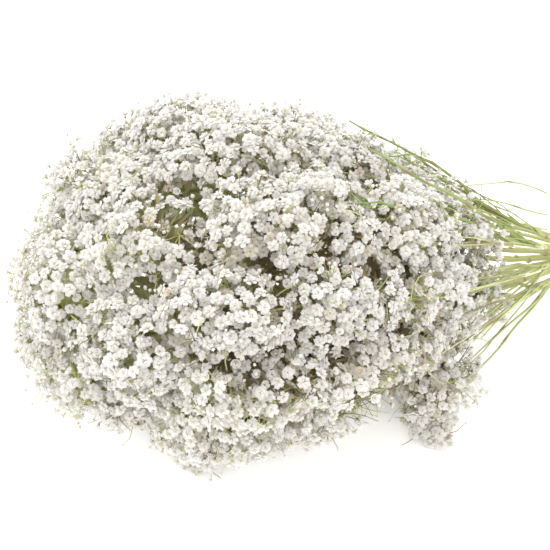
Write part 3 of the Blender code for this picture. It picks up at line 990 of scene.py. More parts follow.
def stem_stations(index):
    """Distances along a stem at which its line has a point, from its cut end."""
    joint = joint_at(index)
    cut = CUT_END + CUT_SWING * math.sin(2.9 * index) * (RINGS[index] > 0)
    stations = [cut, *STEM_STATIONS, joint - JOINT_HALF_LENGTH, joint, joint + JOINT_HALF_LENGTH]
    further = joint + STATION_STEP
    while further < split_at(index) - 0.008:
        stations.append(further)
        further += STATION_STEP
    return [*stations, split_at(index)]


def main_stem(index, foot, top, stalks, dice):
    """A stem from its cut end through its joint to the last hub of its spray."""
    joint = joint_at(index)
    stations = stem_stations(index)
    near, far = STEM_WANDER
    points = []
    for along in stations:
        wander = loose(dice) * (near if along < joint else far)
        points.append(stalk_point(index, along) + wander * (along > FAN_START))
    points[-1] = foot
    tint = 0.5 * dice.random()
    stalks.line(points, STEM_RADIUS * 1.04, STEM_TOP_RADIUS, tint, (stations.index(joint),), STEM)
    count = max(3, round(np.linalg.norm(top - foot) / TRUNK_STEP))
    trunk = bowed(foot, top, TRUNK_BOW, dice, count)
    trunk[0] = foot
    stalks.line(trunk, STEM_TOP_RADIUS, HUB_STALK[1], tint, (count // 2,), STEM)
    if RINGS[index] == 2:
        joint_leaves(index, stalks, dice)


def joint_leaves(index, stalks, dice):
    """The pair of narrow leaves at an outer stem's joint."""
    root = stalk_point(index, joint_at(index))
    forward = unit(stalk_point(index, joint_at(index) + 0.01) - root)
    outwards = PLACES[index][0] * SIDE + PLACES[index][1] * UP + 0.01 * UP
    outwards = unit(outwards - forward * (outwards @ forward))
    sideways = np.cross(forward, outwards)
    for side in (-1.0, 1.0):
        facing = unit(forward + 0.25 * unit(outwards + side * 0.5 * sideways))
        stalks.add(root, facing, LEAF, 0.85, dice.uniform(-0.6, 0.4))


def cell_of(place, cell):
    """The cell of a grid that a place lies in."""
    return tuple(int(value // cell) for value in place)


def room_at(grid, cell, place):
    """How far the nearest flower is, up to one cell."""
    home = cell_of(place, cell)
    near = []
    for step in np.ndindex(3, 3, 3):
        near += grid.get(tuple(home[axis] + step[axis] - 1 for axis in range(3)), [])
    if not near:
        return cell
    return min(cell, float(np.min(np.linalg.norm(np.array(near) - place, axis=1))))


def fill_bare_spots(forks, sizes):
    """Flowers for the gaps of the outline, on the nearest fork: on it, then deeper."""
    dice = random.Random(SEED + 500)
    spots = [settled(spot, normal) for spot, normal, _ in outline_spots()]
    dice.shuffle(spots)
    fork_tree = mathutils.kdtree.KDTree(len(forks))
    for number, (_, fork) in enumerate(forks):
        fork_tree.insert(fork, number)
    fork_tree.balance()
    grid = {}
    cell = sizes.bare_spot
    for flowers, _ in GROWN.values():
        for place in flowers.points:
            grid.setdefault(cell_of(place, cell), []).append(place)
    for deep in (False, True):
        for spot, normal, flat in spots:
            sunk = depth_in(HOLLOWS, spot)
            if flat or sunk > 0.0 and not deep or depth_in(BARE_PARTS, spot) > 0.0:
                continue
            if not deep and dice.random() > thinning(spot) ** 2:
                continue
            spot = spot - normal * (inset_at(spot) + dice.uniform(0.0, 0.006))
            if room_at(grid, cell, spot) < (GAP_WIDTH if deep else cell):
                continue
            if deep:
                spot = spot - normal * (dice.uniform(*DEEPER) + HOLLOW_SINK * (sunk > 0.0))
                if room_at(grid, cell, spot) < DEEP_ROOM:
                    continue
            _, number, away = fork_tree.find(spot)
            if away > FORK_TOO_FAR:
                continue
            index, fork = forks[number]
            flowers, stalks = GROWN[index]
            facing = unit(
                0.6 * unit(spot - fork) + 0.8 * normal + LOOSE_FACING * loose(dice) + SKYWARD)
            # Deep flowers take a tan of painted shade, as shade_at gives it
            shade_tan = DEEP_SHADE_TAN * shade_at(spot) if deep else 0.0
            flower(spot, facing, fork, dice.random(), flowers, stalks, sizes, dice, shade_tan)
            grid.setdefault(cell_of(spot, cell), []).append(tuple(spot))


def routed(points, swing, dice):
    """A line through the points, each stretch of it slightly bowed."""
    line = []
    for before, after in zip(points, points[1:]):
        line += bowed(np.array(before), np.array(after), swing, dice, 3)[:3]
    line.append(np.array(points[-1]))
    return line


def hidden(start, end, margin):
    """Whether a leaf keeps off the table and the bare stems and ends inside the flowers."""
    if min(start[2], end[2]) < TWIG_LEAST_HEIGHT or (start - APEX) @ AXIS < LEAVES_FROM:
        return False
    return inside_by(end) > margin or low_spray_share(end) < LOW_SPRAY_INSIDE


def core_leaves(start, end, count, stalks, dice):
    """Narrow leaves round a trunk or a branch, which darken the inside; their brown is painted shade.
    """
    for _ in range(count):
        place = start + (end - start) * dice.random() + LEAF_SCATTER * loose(dice)
        way = unit(loose(dice))
        if hidden(place, place + way * CORE_LEAF_REACH, CORE_LEAF_MARGIN):
            # The leaf's tint is painted shade: brown where shade_at is 1, greener on the far side and
            # at the tip
            stalks.add(place, way, INNER_LEAF, dice.uniform(*CORE_LEAF_SIZES), shade_at(place))


def outer_twigs(route, stalks, dice, tint):
    """Short side twigs along an outer branch."""
    for number in range(4, len(route) - 1, 3):
        way = unit(unit(route[number + 1] - route[number]) + 0.7 * loose(dice))
        tip = route[number] + way * dice.uniform(*TWIG_LENGTHS)
        stalks.line([route[number], tip], *OUTER_TWIG, tint)


def add_outer_branches(sizes):
    """Stray twigs, branches over the flowers, the low spray's stalks, and small clusters."""
    dice = random.Random(SEED + 400)
    for along, *points in STRAY_TWIGS:
        tint = dice.uniform(*STRAY_TINTS)
        route = [stalk_point(STRAY_STEM, along), *routed(points, STRAY_BOW, dice)]
        GROWN[STRAY_STEM][1].line(route, *STRAY_TWIG, tint, (4, 10))
    for index, along, points in OUTER_BRANCHES:
        route = routed((stalk_point(index, along), *points), OUTER_BOW, dice)
        tint = dice.uniform(*OUTER_TINTS)
        GROWN[index][1].line(route, *OUTER_BRANCH, tint, (3, 9, 15)[:len(points) // 2])
        outer_twigs(route, GROWN[index][1], dice, tint)
    for index, along, points in LOW_BRANCHES:
        route = routed((stalk_point(index, along), *points), LOW_BOW, dice)
        GROWN[index][1].line(route, *LOW_BRANCH, dice.uniform(*LOW_TINTS), (3, 9))
    for number in LEAFY_BRANCHES:
        index, _, points = OUTER_BRANCHES[number]
        for _ in range(3):
            root = np.array(points[3]) + 0.008 * loose(dice)
            way = unit(AXIS + 0.5 * loose(dice))
            GROWN[index][1].add(root, way, LEAF, dice.uniform(0.5, 0.8), -1.0)
    for places, hub, slant in (
        (LOW_TIP, LOW_TIP_HUB, LOW_TIP_SLANT), (SHOULDER, SHOULDER_HUB, SHOULDER_SLANT),
    ):
        flowers, stalks = GROWN[owner(np.array(hub))]
        for place in places:
            turn = 2.0 * math.pi * dice.random()
            floret = (np.array(place), unit(np.array(slant)), False, turn, 0.6 * FLORET_RADIUS)
            cluster(floret, np.array(hub), flowers, stalks, sizes, dice)


GROWN = {}


def grown(sizes):
    """Every spray's two sets of lines and places, worked out once."""
    if GROWN:
        return GROWN
    forks = []
    for index, florets in enumerate(grow_sprays()):
        flowers = Growth()
        stalks = Growth()
        shape_dice = random.Random(SEED + 100 + index)
        foot, top, arms = branching(index, florets, shape_dice)
        dice = random.Random(SEED + 300 + index)
        main_stem(index, foot, top, stalks, dice)
        surface_branches(index, arms, stalks, dice)
        core_leaves(foot, top, sizes.core_leaves, stalks, dice)
        for leave, hub, members in arms:
            core_leaves(leave, hub, sizes.core_leaves // 4, stalks, dice)
            if np.linalg.norm(hub - top) > HAIR:
                stalks.line(bowed(leave, hub, HUB_BOW, dice, 3), *HUB_STALK, dice.random(), (0,))
            for floret in members:
                clear = nudged(index, floret)
                if clear is not None:
                    for fork in cluster(clear, hub, flowers, stalks, sizes, dice):
                        forks.append((index, fork))
        GROWN[index] = (flowers, stalks)
    fill_bare_spots(forks, sizes)
    add_outer_branches(sizes)
    return GROWN


def add(tree, kind, inputs=None, **settings):
    """Adds a node; its inputs are plain values, or sockets to link from."""
    node = tree.nodes.new(kind)
    for name, value in settings.items():
        setattr(node, name, value)
    for name, value in (inputs or {}).items():
        socket = node.inputs[name]
        if isinstance(value, bpy.types.NodeSocket):
            tree.links.new(value, socket)
        elif socket.type == "RGBA":
            socket.default_value = (*value, 1.0)
        else:
            socket.default_value = value
    return node


def new_tree(name, sockets):
    """A geometry tree with those inputs: (name, kind, default)."""
    tree = bpy.data.node_groups.new(name, "GeometryNodeTree")
    tree.interface.new_socket("Geometry", in_out="INPUT", socket_type="NodeSocketGeometry")
    for label, kind, default in sockets:
        socket = tree.interface.new_socket(label, in_out="INPUT", socket_type=kind)
        if default is not None:
            socket.default_value = default
    tree.interface.new_socket("Geometry", in_out="OUTPUT", socket_type="NodeSocketGeometry")
    return tree, add(tree, "NodeGroupInput"), add(tree, "NodeGroupOutput")


def shapes_on_points(tree, points, shapes, picked, size, seed):
    """Stands the picked shape of a collection on each point, turned to its facing."""
    held = add(tree, "GeometryNodeCollectionInfo", {
        "Collection": shapes, "Separate Children": True, "Reset Children": True,
    })
    faced = add(tree, "GeometryNodeInputNamedAttribute", {"Name": "facing"}, data_type="FLOAT_VECTOR")
    facing = add(tree, "FunctionNodeAlignRotationToVector", {"Vector": faced.outputs["Attribute"]})
    turn = add(tree, "FunctionNodeRandomValue", {3: 2.0 * math.pi, "Seed": seed})
    spin = add(tree, "ShaderNodeCombineXYZ", {"Z": turn.outputs[1]})
    euler = add(tree, "FunctionNodeEulerToRotation", {0: spin.outputs[0]})
    turned = add(tree, "FunctionNodeRotateRotation", {
        "Rotation": facing.outputs[0], "Rotate By": euler.outputs[0],
    }, rotation_space="LOCAL")
    return add(tree, "GeometryNodeInstanceOnPoints", {
        "Points": points, "Instance": held.outputs[0], "Pick Instance": True,
        "Instance Index": picked, "Rotation": turned.outputs[0], "Scale": size,
    }).outputs[0]


def flower_tree():
    """Flowers and buds on points: one of the shapes for each, sized and turned."""
    tree, given, result = new_tree("flowers on points", (
        ("Shapes", "NodeSocketCollection", None),
        ("Flower Width", "NodeSocketFloat", FLOWER_WIDTH),
        ("Seed", "NodeSocketInt", SEED),
        ("Finish", "NodeSocketMaterial", None),
    ))
    kind = add(tree, "GeometryNodeInputNamedAttribute", {"Name": "kind"}, data_type="FLOAT")
    share = add(tree, "GeometryNodeInputNamedAttribute", {"Name": "size"}, data_type="FLOAT")
    size = add(tree, "ShaderNodeMath", {
        0: share.outputs["Attribute"], 1: given.outputs["Flower Width"],
    }, operation="MULTIPLY")
    stood = shapes_on_points(
        tree, given.outputs["Geometry"], given.outputs["Shapes"], kind.outputs["Attribute"],
        size.outputs[0], given.outputs["Seed"],
    )
    real = add(tree, "GeometryNodeRealizeInstances", {0: stood})
    finish = add(tree, "GeometryNodeSetMaterial", {
        "Geometry": real.outputs[0], "Material": given.outputs["Finish"],
    })
    tree.links.new(finish.outputs[0], result.inputs[0])
    return tree


def stalk_tree():
    """Round stalks along lines, with the green cups and leaves that stand on points."""
    tree, given, result = new_tree("stalks along lines", (
        ("Shapes", "NodeSocketCollection", None),
        ("Stem Sides", "NodeSocketInt", 8),
        ("Stalk Sides", "NodeSocketInt", 3),
        ("Flower Width", "NodeSocketFloat", FLOWER_WIDTH),
        ("Seed", "NodeSocketInt", SEED),
        ("Finish", "NodeSocketMaterial", None),
    ))
    kinds = add(tree, "GeometryNodeInputNamedAttribute", {"Name": "kind"}, data_type="FLOAT")
    sizes = add(tree, "GeometryNodeInputNamedAttribute", {"Name": "size"}, data_type="FLOAT")
    kind, share = kinds.outputs["Attribute"], sizes.outputs["Attribute"]
    is_line = add(tree, "FunctionNodeCompare", {0: kind, 1: 1.5}, operation="LESS_THAN")
    parts = add(tree, "GeometryNodeSeparateGeometry", {
        "Geometry": given.outputs["Geometry"], "Selection": is_line.outputs[0],
    }, domain="POINT")
    is_stem = add(tree, "FunctionNodeCompare", {0: kind, 1: 0.5}, operation="LESS_THAN")
    lines = add(tree, "GeometryNodeSeparateGeometry", {
        "Geometry": parts.outputs[0], "Selection": is_stem.outputs[0],
    }, domain="POINT")
    both = add(tree, "GeometryNodeJoinGeometry")
    for number, sides in enumerate(("Stem Sides", "Stalk Sides")):
        curve = add(tree, "GeometryNodeMeshToCurve", {0: lines.outputs[number]})
        ring = add(tree, "GeometryNodeCurvePrimitiveCircle", {
            "Resolution": given.outputs[sides], "Radius": 1.0,
        })
        tubes = add(tree, "GeometryNodeCurveToMesh", {
            "Curve": curve.outputs[0], "Profile Curve": ring.outputs[0],
            "Scale": share, "Fill Caps": True,
        })
        smooth = add(tree, "GeometryNodeSetShadeSmooth", {0: tubes.outputs[0]})
        tree.links.new(smooth.outputs[0], both.inputs[0])
    picked = add(tree, "ShaderNodeMath", {0: kind, 1: 2.0}, operation="SUBTRACT")
    size = add(tree, "ShaderNodeMath", {
        0: share, 1: given.outputs["Flower Width"],
    }, operation="MULTIPLY")
    stood = shapes_on_points(
        tree, parts.outputs[1], given.outputs["Shapes"], picked.outputs[0], size.outputs[0],
        given.outputs["Seed"],
    )
    real = add(tree, "GeometryNodeRealizeInstances", {0: stood})
    tree.links.new(real.outputs[0], both.inputs[0])
    finish = add(tree, "GeometryNodeSetMaterial", {
        "Geometry": both.outputs[0], "Material": given.outputs["Finish"],
    })
    tree.links.new(finish.outputs[0], result.inputs[0])
    return tree


def grow_mesh(carrier, tree, values, kept):
    """Runs a tree on a carrier with those input values and keeps the plain mesh.

    What would reach below the table is pressed against it.
    """
    grower = carrier.modifiers.new("growth", "NODES")
    grower.node_group = tree
    for item in tree.interface.items_tree:
        if item.item_type == "SOCKET" and item.in_out == "INPUT" and item.name in values:
            grower[item.identifier] = values[item.name]
    seen = carrier.evaluated_get(bpy.context.evaluated_depsgraph_get())
    mesh = bpy.data.meshes.new_from_object(seen)
    carrier.modifiers.clear()
    carrier.data = mesh
    corners = np.empty(3 * len(mesh.vertices))
    mesh.vertices.foreach_get("co", corners)
    corners[2::3] = np.maximum(corners[2::3], LEAST_HEIGHT)
    mesh.vertices.foreach_set("co", corners)
    for name in [item.name for item in mesh.attributes if not item.is_required]:
        if name in mesh.attributes and name not in kept and name != "sharp_face":
            mesh.attributes.remove(mesh.attributes[name])
    mesh.materials.clear()
    mesh.materials.append(values["Finish"])
    return carrier


def shape(collection, name, corners, faces, hearts):
    """One shape of a collection, with how near each corner is to the flower's heart."""
    mesh = bpy.data.meshes.new(name)
    mesh.from_pydata([tuple(corner) for corner in corners], [], faces)
    work = bmesh.new()
    work.from_mesh(mesh)
    bmesh.ops.recalc_face_normals(work, faces=work.faces)
    work.to_mesh(mesh)
    work.free()
    mesh.attributes.new("heart", "FLOAT", "POINT").data.foreach_set("value", hearts)
    collection.objects.link(bpy.data.objects.new(name, mesh))


def petal(corners, faces, hearts, angle, length, half_width, base, rise, curl, blunt):
    """A closed petal, blunt or pointed; it leaves at one slope and curls to another."""
    outwards = np.array([math.cos(angle), math.sin(angle), 0.0])
    sideways = np.array([-math.sin(angle), math.cos(angle), 0.0])
    up = np.array([0.0, 0.0, 1.0])
    foot = outwards * base + up * 0.02
    low = outwards * math.cos(rise) + up * math.sin(rise)
    high = outwards * math.cos(curl) + up * math.sin(curl)
    waist = foot + low * (PETAL_FIRST_PART * length)
    tip = waist + high * (PETAL_LAST_PART * length)
    thick = np.cross(low, sideways)
    if thick[2] < 0.0:
        thick = -thick
    ends = [tip - sideways * (blunt * half_width), tip + sideways * (blunt * half_width)]
    if blunt == 0.0:
        ends = [tip]
    rim = [foot, waist - sideways * half_width, *ends, waist + sideways * half_width]
    start, count = len(corners), len(rim)
    corners += rim + [waist + thick * PETAL_THICKNESS]
    faces.append(tuple(start + step for step in reversed(range(count))))
    for step in range(count):
        faces.append((start + step, start + (step + 1) % count, start + count))
    hearts += [1.0, 0.10] + [0.0] * len(ends) + [0.10, 0.16]


def flower_shape(collection, name, whorls, turn_step):
    """A double flower of whorls: petals, length, half width, base, rise and curl."""
    corners, faces, hearts = [], [], []
    start = 0.0
    for count, length, half_width, base, rise, curl in whorls:
        blunt = 0.0 if start else 0.70
        for step in range(count):
            angle = start + 2.0 * math.pi * step / count
            sway = 0.10 * math.sin(5.0 * step + 3.0 * count)
            petal(
                corners, faces, hearts, angle + 0.5 * sway, length * (1.0 + sway),
                half_width, base, math.radians(rise) + sway, math.radians(curl) + 2.0 * sway,
                blunt,
            )
        start += turn_step
    shape(collection, name, corners, faces, hearts)


def round_shape(collection, name, sides, rings, hearts_by_ring):
    """A closed turned shape: rings of radius and height, a radius of 0 is a point."""
    corners, faces, hearts = [], [], []
    starts = []
    for (radius, height), heart in zip(rings, hearts_by_ring):
        starts.append(len(corners))
        count = sides if radius > 0.0 else 1
        for side in range(count):
            angle = 2.0 * math.pi * side / sides
            corners.append((radius * math.cos(angle), radius * math.sin(angle), height))
            hearts.append(heart)
    for number in range(len(rings) - 1):
        low, high = starts[number], starts[number + 1]
        for side in range(sides):
            after = (side + 1) % sides
            if rings[number][0] == 0.0:
                faces.append((low, high + after, high + side))
            elif rings[number + 1][0] == 0.0:
                faces.append((low + side, low + after, high))
            else:
                faces.append((low + side, low + after, high + after, high + side))
    if rings[0][0] > 0.0:
        faces.append(tuple(reversed(range(sides))))
    if rings[-1][0] > 0.0:
        faces.append(tuple(starts[-1] + side for side in range(sides)))
    shape(collection, name, corners, faces, hearts)


def flower_shapes():
    """Five double flowers and a bud, all 1 across, so a width in metres scales them."""
    held = bpy.data.collections.new("flower shapes")
    flower_shape(held, "shape_0_open", (
        (5, 0.45, 0.215, 0.05, -10, -24), (5, 0.40, 0.175, 0.04, 26, 12), (3, 0.32, 0.14, 0.02, 62, 50),
    ), 0.6)
    flower_shape(held, "shape_1_flat", (
        (5, 0.44, 0.215, 0.05, -22, -38), (5, 0.42, 0.175, 0.04, 14, -4), (3, 0.32, 0.14, 0.02, 48, 32),
    ), 0.5)
    flower_shape(held, "shape_2_cupped", (
        (5, 0.46, 0.205, 0.05, 8, -8), (5, 0.42, 0.160, 0.04, 40, 34), (3, 0.34, 0.12, 0.02, 70, 72),
    ), 0.7)
    flower_shape(held, "shape_3_half_open", (
        (5, 0.42, 0.180, 0.05, 46, 54), (4, 0.38, 0.140, 0.03, 64, 76),
    ), 0.6)
    flower_shape(held, "shape_4_small", (
        (5, 0.45, 0.215, 0.05, 14, 4), (4, 0.30, 0.150, 0.03, 50, 40),
    ), 0.6)
    round_shape(held, "shape_5_bud", 4, (
        (0.0, -0.10), (0.12, -0.03), (0.15, 0.10), (0.08, 0.22), (0.0, 0.25),
    ), (1.0, 0.95, 0.45, 0.12, 0.1))
    return held


def green_shapes():
    """The green cup behind a flower, a narrow leaf and a plainer one for the inside."""
    held = bpy.data.collections.new("green shapes")
    round_shape(held, "shape_0_cup", 4, (
        (0.0, -0.27), (0.13, 0.0),
    ), (0.0, 0.0))
    corners, faces = [], []
    for share, width in LEAF_WIDTHS:
        bend = LEAF_BEND * share * share
        for sideways, upwards in ((1.0, 0.0), (0.0, 1.0), (-1.0, 0.0), (0.0, -0.5)):
            aside = sideways * width * LEAF_HALF_WIDTH
            corners.append((bend + LEAF_THICKNESS * upwards, aside, share * LEAF_LENGTH))
    corners.append((LEAF_BEND, 0.0, LEAF_LENGTH))
    faces.append((3, 2, 1, 0))
    for ring in range(len(LEAF_WIDTHS) - 1):
        for side in range(4):
            after = (side + 1) % 4
            low, high = 4 * ring, 4 * ring + 4
            faces.append((low + side, low + after, high + after, high + side))
    for side in range(4):
        faces.append((12 + side, 12 + (side + 1) % 4, 16))
    shape(held, "shape_1_leaf", corners, faces, [0.0] * len(corners))
    corners = [(0.0, 0.0, 0.0), (0.1, 0.30, 1.2), (0.16, 0.0, 1.2), (0.1, -0.30, 1.2), (0.04, 0.0, 1.2)]
    corners.append((0.4, 0.0, 3.0))
    faces = []
    for side in range(4):
        after = (side + 1) % 4
        faces.append((0, 1 + after, 1 + side))
        faces.append((1 + side, 1 + after, 5))
    shape(held, "shape_2_inner_leaf", corners, faces, [0.0] * 6)
    return held


def surface(name):
    """A new material with its tree and its Principled shader."""
    made = bpy.data.materials.new(name)
    made.use_nodes = True
    return made, made.node_tree, made.node_tree.nodes["Principled BSDF"]


def petal_finish(finishes):
    """Fresh white petals: thin, matt and slightly velvety, greener towards the heart.

    Each flower has its own fade, from fresh white to the tan of a drying one; on the deep flowers
    part of that tan is painted shade. A fine uneven skin, 0.8 mm across, is coarser than a
    real petal's so that it shows.
    """
    made, tree, skin = surface("fresh_petal")
    place = add(tree, "ShaderNodeTexCoord").outputs["Object"]
    heart = add(tree, "ShaderNodeAttribute", attribute_name="heart").outputs["Fac"]
    fade_and_shade = add(tree, "ShaderNodeAttribute", attribute_name="tint").outputs["Fac"]
    mottle = add(tree, "ShaderNodeTexNoise", {"Vector": place, "Scale": 220.0, "Detail": 3.0})
    cream = add(tree, "ShaderNodeMapRange", {
        "Value": mottle.outputs["Fac"], "From Min": 0.40, "From Max": 0.70, "To Max": 0.6,
    })
    warm = add(tree, "ShaderNodeMix", {
        0: cream.outputs[0], 6: tuple(finishes.petal), 7: linear("EAE3DA"),
    }, data_type="RGBA")
    # Mixes in the tan of faded flowers and the painted shade of deep ones
    aged_and_shaded = add(tree, "ShaderNodeMix", {
        0: fade_and_shade, 6: warm.outputs[2], 7: tuple(finishes.faded),
    }, data_type="RGBA")
    deep = add(tree, "ShaderNodeMath", {0: heart, 1: 2.2}, operation="POWER")
    green = add(tree, "ShaderNodeMapRange", {"Value": deep.outputs[0], "To Max": 0.85})
    toned = add(tree, "ShaderNodeMix", {
        0: green.outputs[0], 6: aged_and_shaded.outputs[2], 7: tuple(finishes.heart),
    }, data_type="RGBA")
    tree.links.new(toned.outputs[2], skin.inputs["Base Color"])
    fine = add(tree, "ShaderNodeTexNoise", {"Vector": place, "Scale": 1200.0, "Detail": 2.0})
    rough = add(tree, "ShaderNodeMapRange", {
        "Value": fine.outputs["Fac"], "To Min": 0.60, "To Max": 0.82,
    })
    tree.links.new(rough.outputs[0], skin.inputs["Roughness"])
    bump = add(tree, "ShaderNodeBump", {
        "Height": fine.outputs["Fac"], "Strength": 0.25, "Distance": 0.0002,
    })
    tree.links.new(bump.outputs[0], skin.inputs["Normal"])
    skin.inputs["Specular IOR Level"].default_value = 0.35
    skin.inputs["Sheen Weight"].default_value = 0.08
    skin.inputs["Subsurface Weight"].default_value = 0.5
    skin.inputs["Subsurface Radius"].default_value = (1.0, 0.95, 0.85)
    skin.inputs["Subsurface Scale"].default_value = 0.002
    return made


def stem_finish(finishes):
    """Living stem skin: smooth and waxy, pale yellow-green, brown at the knuckles.

    Length-wise streaks a few millimetres wide, and patches where the wax has rubbed
    off, are a little larger than real ones so that they show. A tint of -1 is a young
    green branch, and one of 1 an old brown twig; the inner and core leaves' tint is
    painted shade, brown where the inside is shaded.
    """
    made, tree, skin = surface("waxy_stem_skin")
    place = add(tree, "ShaderNodeTexCoord").outputs["Object"]
    tint = add(tree, "ShaderNodeAttribute", attribute_name="tint").outputs["Fac"]
    knuckle = add(tree, "ShaderNodeAttribute", attribute_name="knuckle").outputs["Fac"]
    along = add(tree, "ShaderNodeMapping", {"Vector": place, "Scale": (0.12, 1.0, 1.0)})
    streak = add(tree, "ShaderNodeTexNoise", {
        "Vector": along.outputs[0], "Scale": 500.0, "Detail": 3.0,
    }).outputs["Fac"]
    patch = add(tree, "ShaderNodeTexNoise", {
        "Vector": place, "Scale": 45.0, "Detail": 2.0,
    }).outputs["Fac"]
    toned = tuple(finishes.stem)
    for value, start, end, most, colour in (
        (streak, 0.40, 0.65, 0.55, linear("E0E49A")),
        (patch, 0.50, 0.75, 0.5, linear("A6BA58")),
        (tint, 0.0, -1.0, 1.0, tuple(finishes.shoot)),
        # On the inner and core leaves this brown is painted shade
        (tint, 0.0, 1.0, 1.0, tuple(finishes.twig)),
        (knuckle, 0.35, 1.0, 0.8, linear("8C6A3E")),
    ):
        share = add(tree, "ShaderNodeMapRange", {
            "Value": value, "From Min": start, "From Max": end, "To Max": most,
        })
        toned = add(tree, "ShaderNodeMix", {
            0: share.outputs[0], 6: toned, 7: colour,
        }, data_type="RGBA").outputs[2]
    tree.links.new(toned, skin.inputs["Base Color"])
    rough = add(tree, "ShaderNodeMapRange", {"Value": patch, "To Min": 0.38, "To Max": 0.60})
    tree.links.new(rough.outputs[0], skin.inputs["Roughness"])
    bump = add(tree, "ShaderNodeBump", {"Height": streak, "Strength": 0.3, "Distance": 0.0003})
    tree.links.new(bump.outputs[0], skin.inputs["Normal"])
    return made


def band_finish(finishes):
    """Natural rubber: tan, semi-matt, with the fine drag lines of its extrusion."""
    made, tree, skin = surface("natural_rubber")
    place = add(tree, "ShaderNodeTexCoord").outputs["Object"]
    lines = add(tree, "ShaderNodeMapping", {"Vector": place, "Scale": (1.0, 0.08, 0.08)})
    drag = add(tree, "ShaderNodeTexNoise", {
        "Vector": lines.outputs[0], "Scale": 1500.0, "Detail": 2.0,
    }).outputs["Fac"]
    cloud = add(tree, "ShaderNodeTexNoise", {"Vector": place, "Scale": 120.0, "Detail": 3.0})
    toned = add(tree, "ShaderNodeMix", {
        0: cloud.outputs["Fac"], 6: tuple(finishes.rubber), 7: linear("B08A55"),
    }, data_type="RGBA")
    tree.links.new(toned.outputs[2], skin.inputs["Base Color"])
    rough = add(tree, "ShaderNodeMapRange", {"Value": drag, "To Min": 0.42, "To Max": 0.60})
    tree.links.new(rough.outputs[0], skin.inputs["Roughness"])
    bump = add(tree, "ShaderNodeBump", {"Height": drag, "Strength": 0.4, "Distance": 0.0003})
    tree.links.new(bump.outputs[0], skin.inputs["Normal"])
    skin.inputs["IOR"].default_value = 1.52
    return made


def floor_finish(finishes):
    """Matt white card under the bunch, with a faint cloudiness.

    It glows where nothing shelters it, so the open floor is plain white and the
    part under the flowers keeps its soft grey.
    """
    made, tree, skin = surface("white_card")
    place = add(tree, "ShaderNodeTexCoord").outputs["Object"]
    cloud = add(tree, "ShaderNodeTexNoise", {"Vector": place, "Scale": 3.0, "Detail": 2.0})
    toned = add(tree, "ShaderNodeMix", {
        0: cloud.outputs["Fac"], 6: tuple(finishes.floor), 7: linear("FBFAF8"),
    }, data_type="RGBA")
    tree.links.new(toned.outputs[2], skin.inputs["Base Color"])
    skin.inputs["Roughness"].default_value = 0.9
    skin.inputs["Specular IOR Level"].default_value = 0.0
    shelter = add(tree, "ShaderNodeAmbientOcclusion", {"Distance": 0.05}, samples=8)
    glow = add(tree, "ShaderNodeMapRange", {
        "Value": shelter.outputs["AO"], "From Min": 0.05, "From Max": 0.45, "To Max": 0.60,
    })
    skin.inputs["Emission Color"].default_value = (1.0, 1.0, 1.0, 1.0)
    tree.links.new(glow.outputs[0], skin.inputs["Emission Strength"])
    return made


class GypsophilaSizes(bpy.types.PropertyGroup):
    """How large and how many the flowers are."""

    flower_width: FloatProperty(
        name="Flower Width", description="Width of an open flower", default=FLOWER_WIDTH,
        unit="LENGTH")
    flowers_in_cluster: IntProperty(
        name="Flowers in a Cluster", description="Flowers on the outside of a full cluster",
        default=21)
    deep_flowers: IntProperty(
        name="Deep Flowers", description="Flowers that sit deeper in a full cluster", default=9)
    buds_in_cluster: IntProperty(
        name="Buds in a Cluster", description="Round buds of a full cluster", default=6)
    bare_spot: FloatProperty(
        name="Bare Spot", description="Room without a flower that gets one more", default=0.0078,
        unit="LENGTH")
    inner_leaves: IntProperty(
        name="Inner Leaves", description="Narrow leaves on the stalk below a cluster", default=14)
    surface_twigs: IntProperty(
        name="Surface Twigs", description="Bare twigs that show between the flowers of a cluster",
        default=3)
    core_leaves: IntProperty(
        name="Core Leaves", description="Old leaves round the trunk of a spray", default=170)
    stem_sides: IntProperty(
        name="Stem Sides", description="Sides of a main stem's round section", default=8)
    stalk_sides: IntProperty(
        name="Stalk Sides", description="Sides of a thin stalk's section", default=3)


class GypsophilaFinishes(bpy.types.PropertyGroup):
    """The colours of the bunch and of the floor."""

    petal: FloatVectorProperty(
        name="Petal", description="Fresh petals", subtype="COLOR", default=linear("F7F4F0"))
    faded: FloatVectorProperty(
        name="Faded Petal", description="Petals that are drying", subtype="COLOR",
        default=linear("D8C6A8"))
    heart: FloatVectorProperty(
        name="Heart", description="The middle of a flower", subtype="COLOR", default=linear("A9B052"))
    stem: FloatVectorProperty(
        name="Stem", description="Main stems", subtype="COLOR", default=linear("D6DD88"))
    twig: FloatVectorProperty(
        name="Twig", description="Older, darker stalks", subtype="COLOR", default=linear("75663F"))
    shoot: FloatVectorProperty(
        name="Shoot", description="Young branches over the flowers", subtype="COLOR",
        default=linear("7F9A42"))
    rubber: FloatVectorProperty(
        name="Band", description="The rubber band", subtype="COLOR", default=linear("C4A473"))
    floor: FloatVectorProperty(
        name="Floor", description="The floor", subtype="COLOR", default=linear("F7F6F4"))


class GypsophilaStage(bpy.types.PropertyGroup):
    """The lights and the camera."""

    key_power: FloatProperty(
        name="Key Light", description="Power of the large light above, in watts", default=11.0)
    fill_power: FloatProperty(
        name="Fill Light", description="Power of the light on the left, in watts", default=2.5)
    sky: FloatProperty(
        name="Surroundings", description="Brightness of the white surroundings", default=1.04)
    exposure: FloatProperty(
        name="Exposure", description="Stops of brightness, more or less", default=-0.10)
    gamma: FloatProperty(
        name="Gamma", description="Above 1 lifts the shadows, as in the photograph", default=1.25)
    azimuth: FloatProperty(
        name="Azimuth", description="Camera angle round the bunch", subtype="ANGLE",
        default=math.radians(-24.0))
    elevation: FloatProperty(
        name="Elevation", description="Camera angle above the table", subtype="ANGLE",
        default=math.radians(37.0))
    distance: FloatProperty(
        name="Distance", description="Camera to the point it looks at", unit="LENGTH", default=0.8665)
    lens: FloatProperty(
        name="Lens", description="Focal length in millimetres", default=72.0)


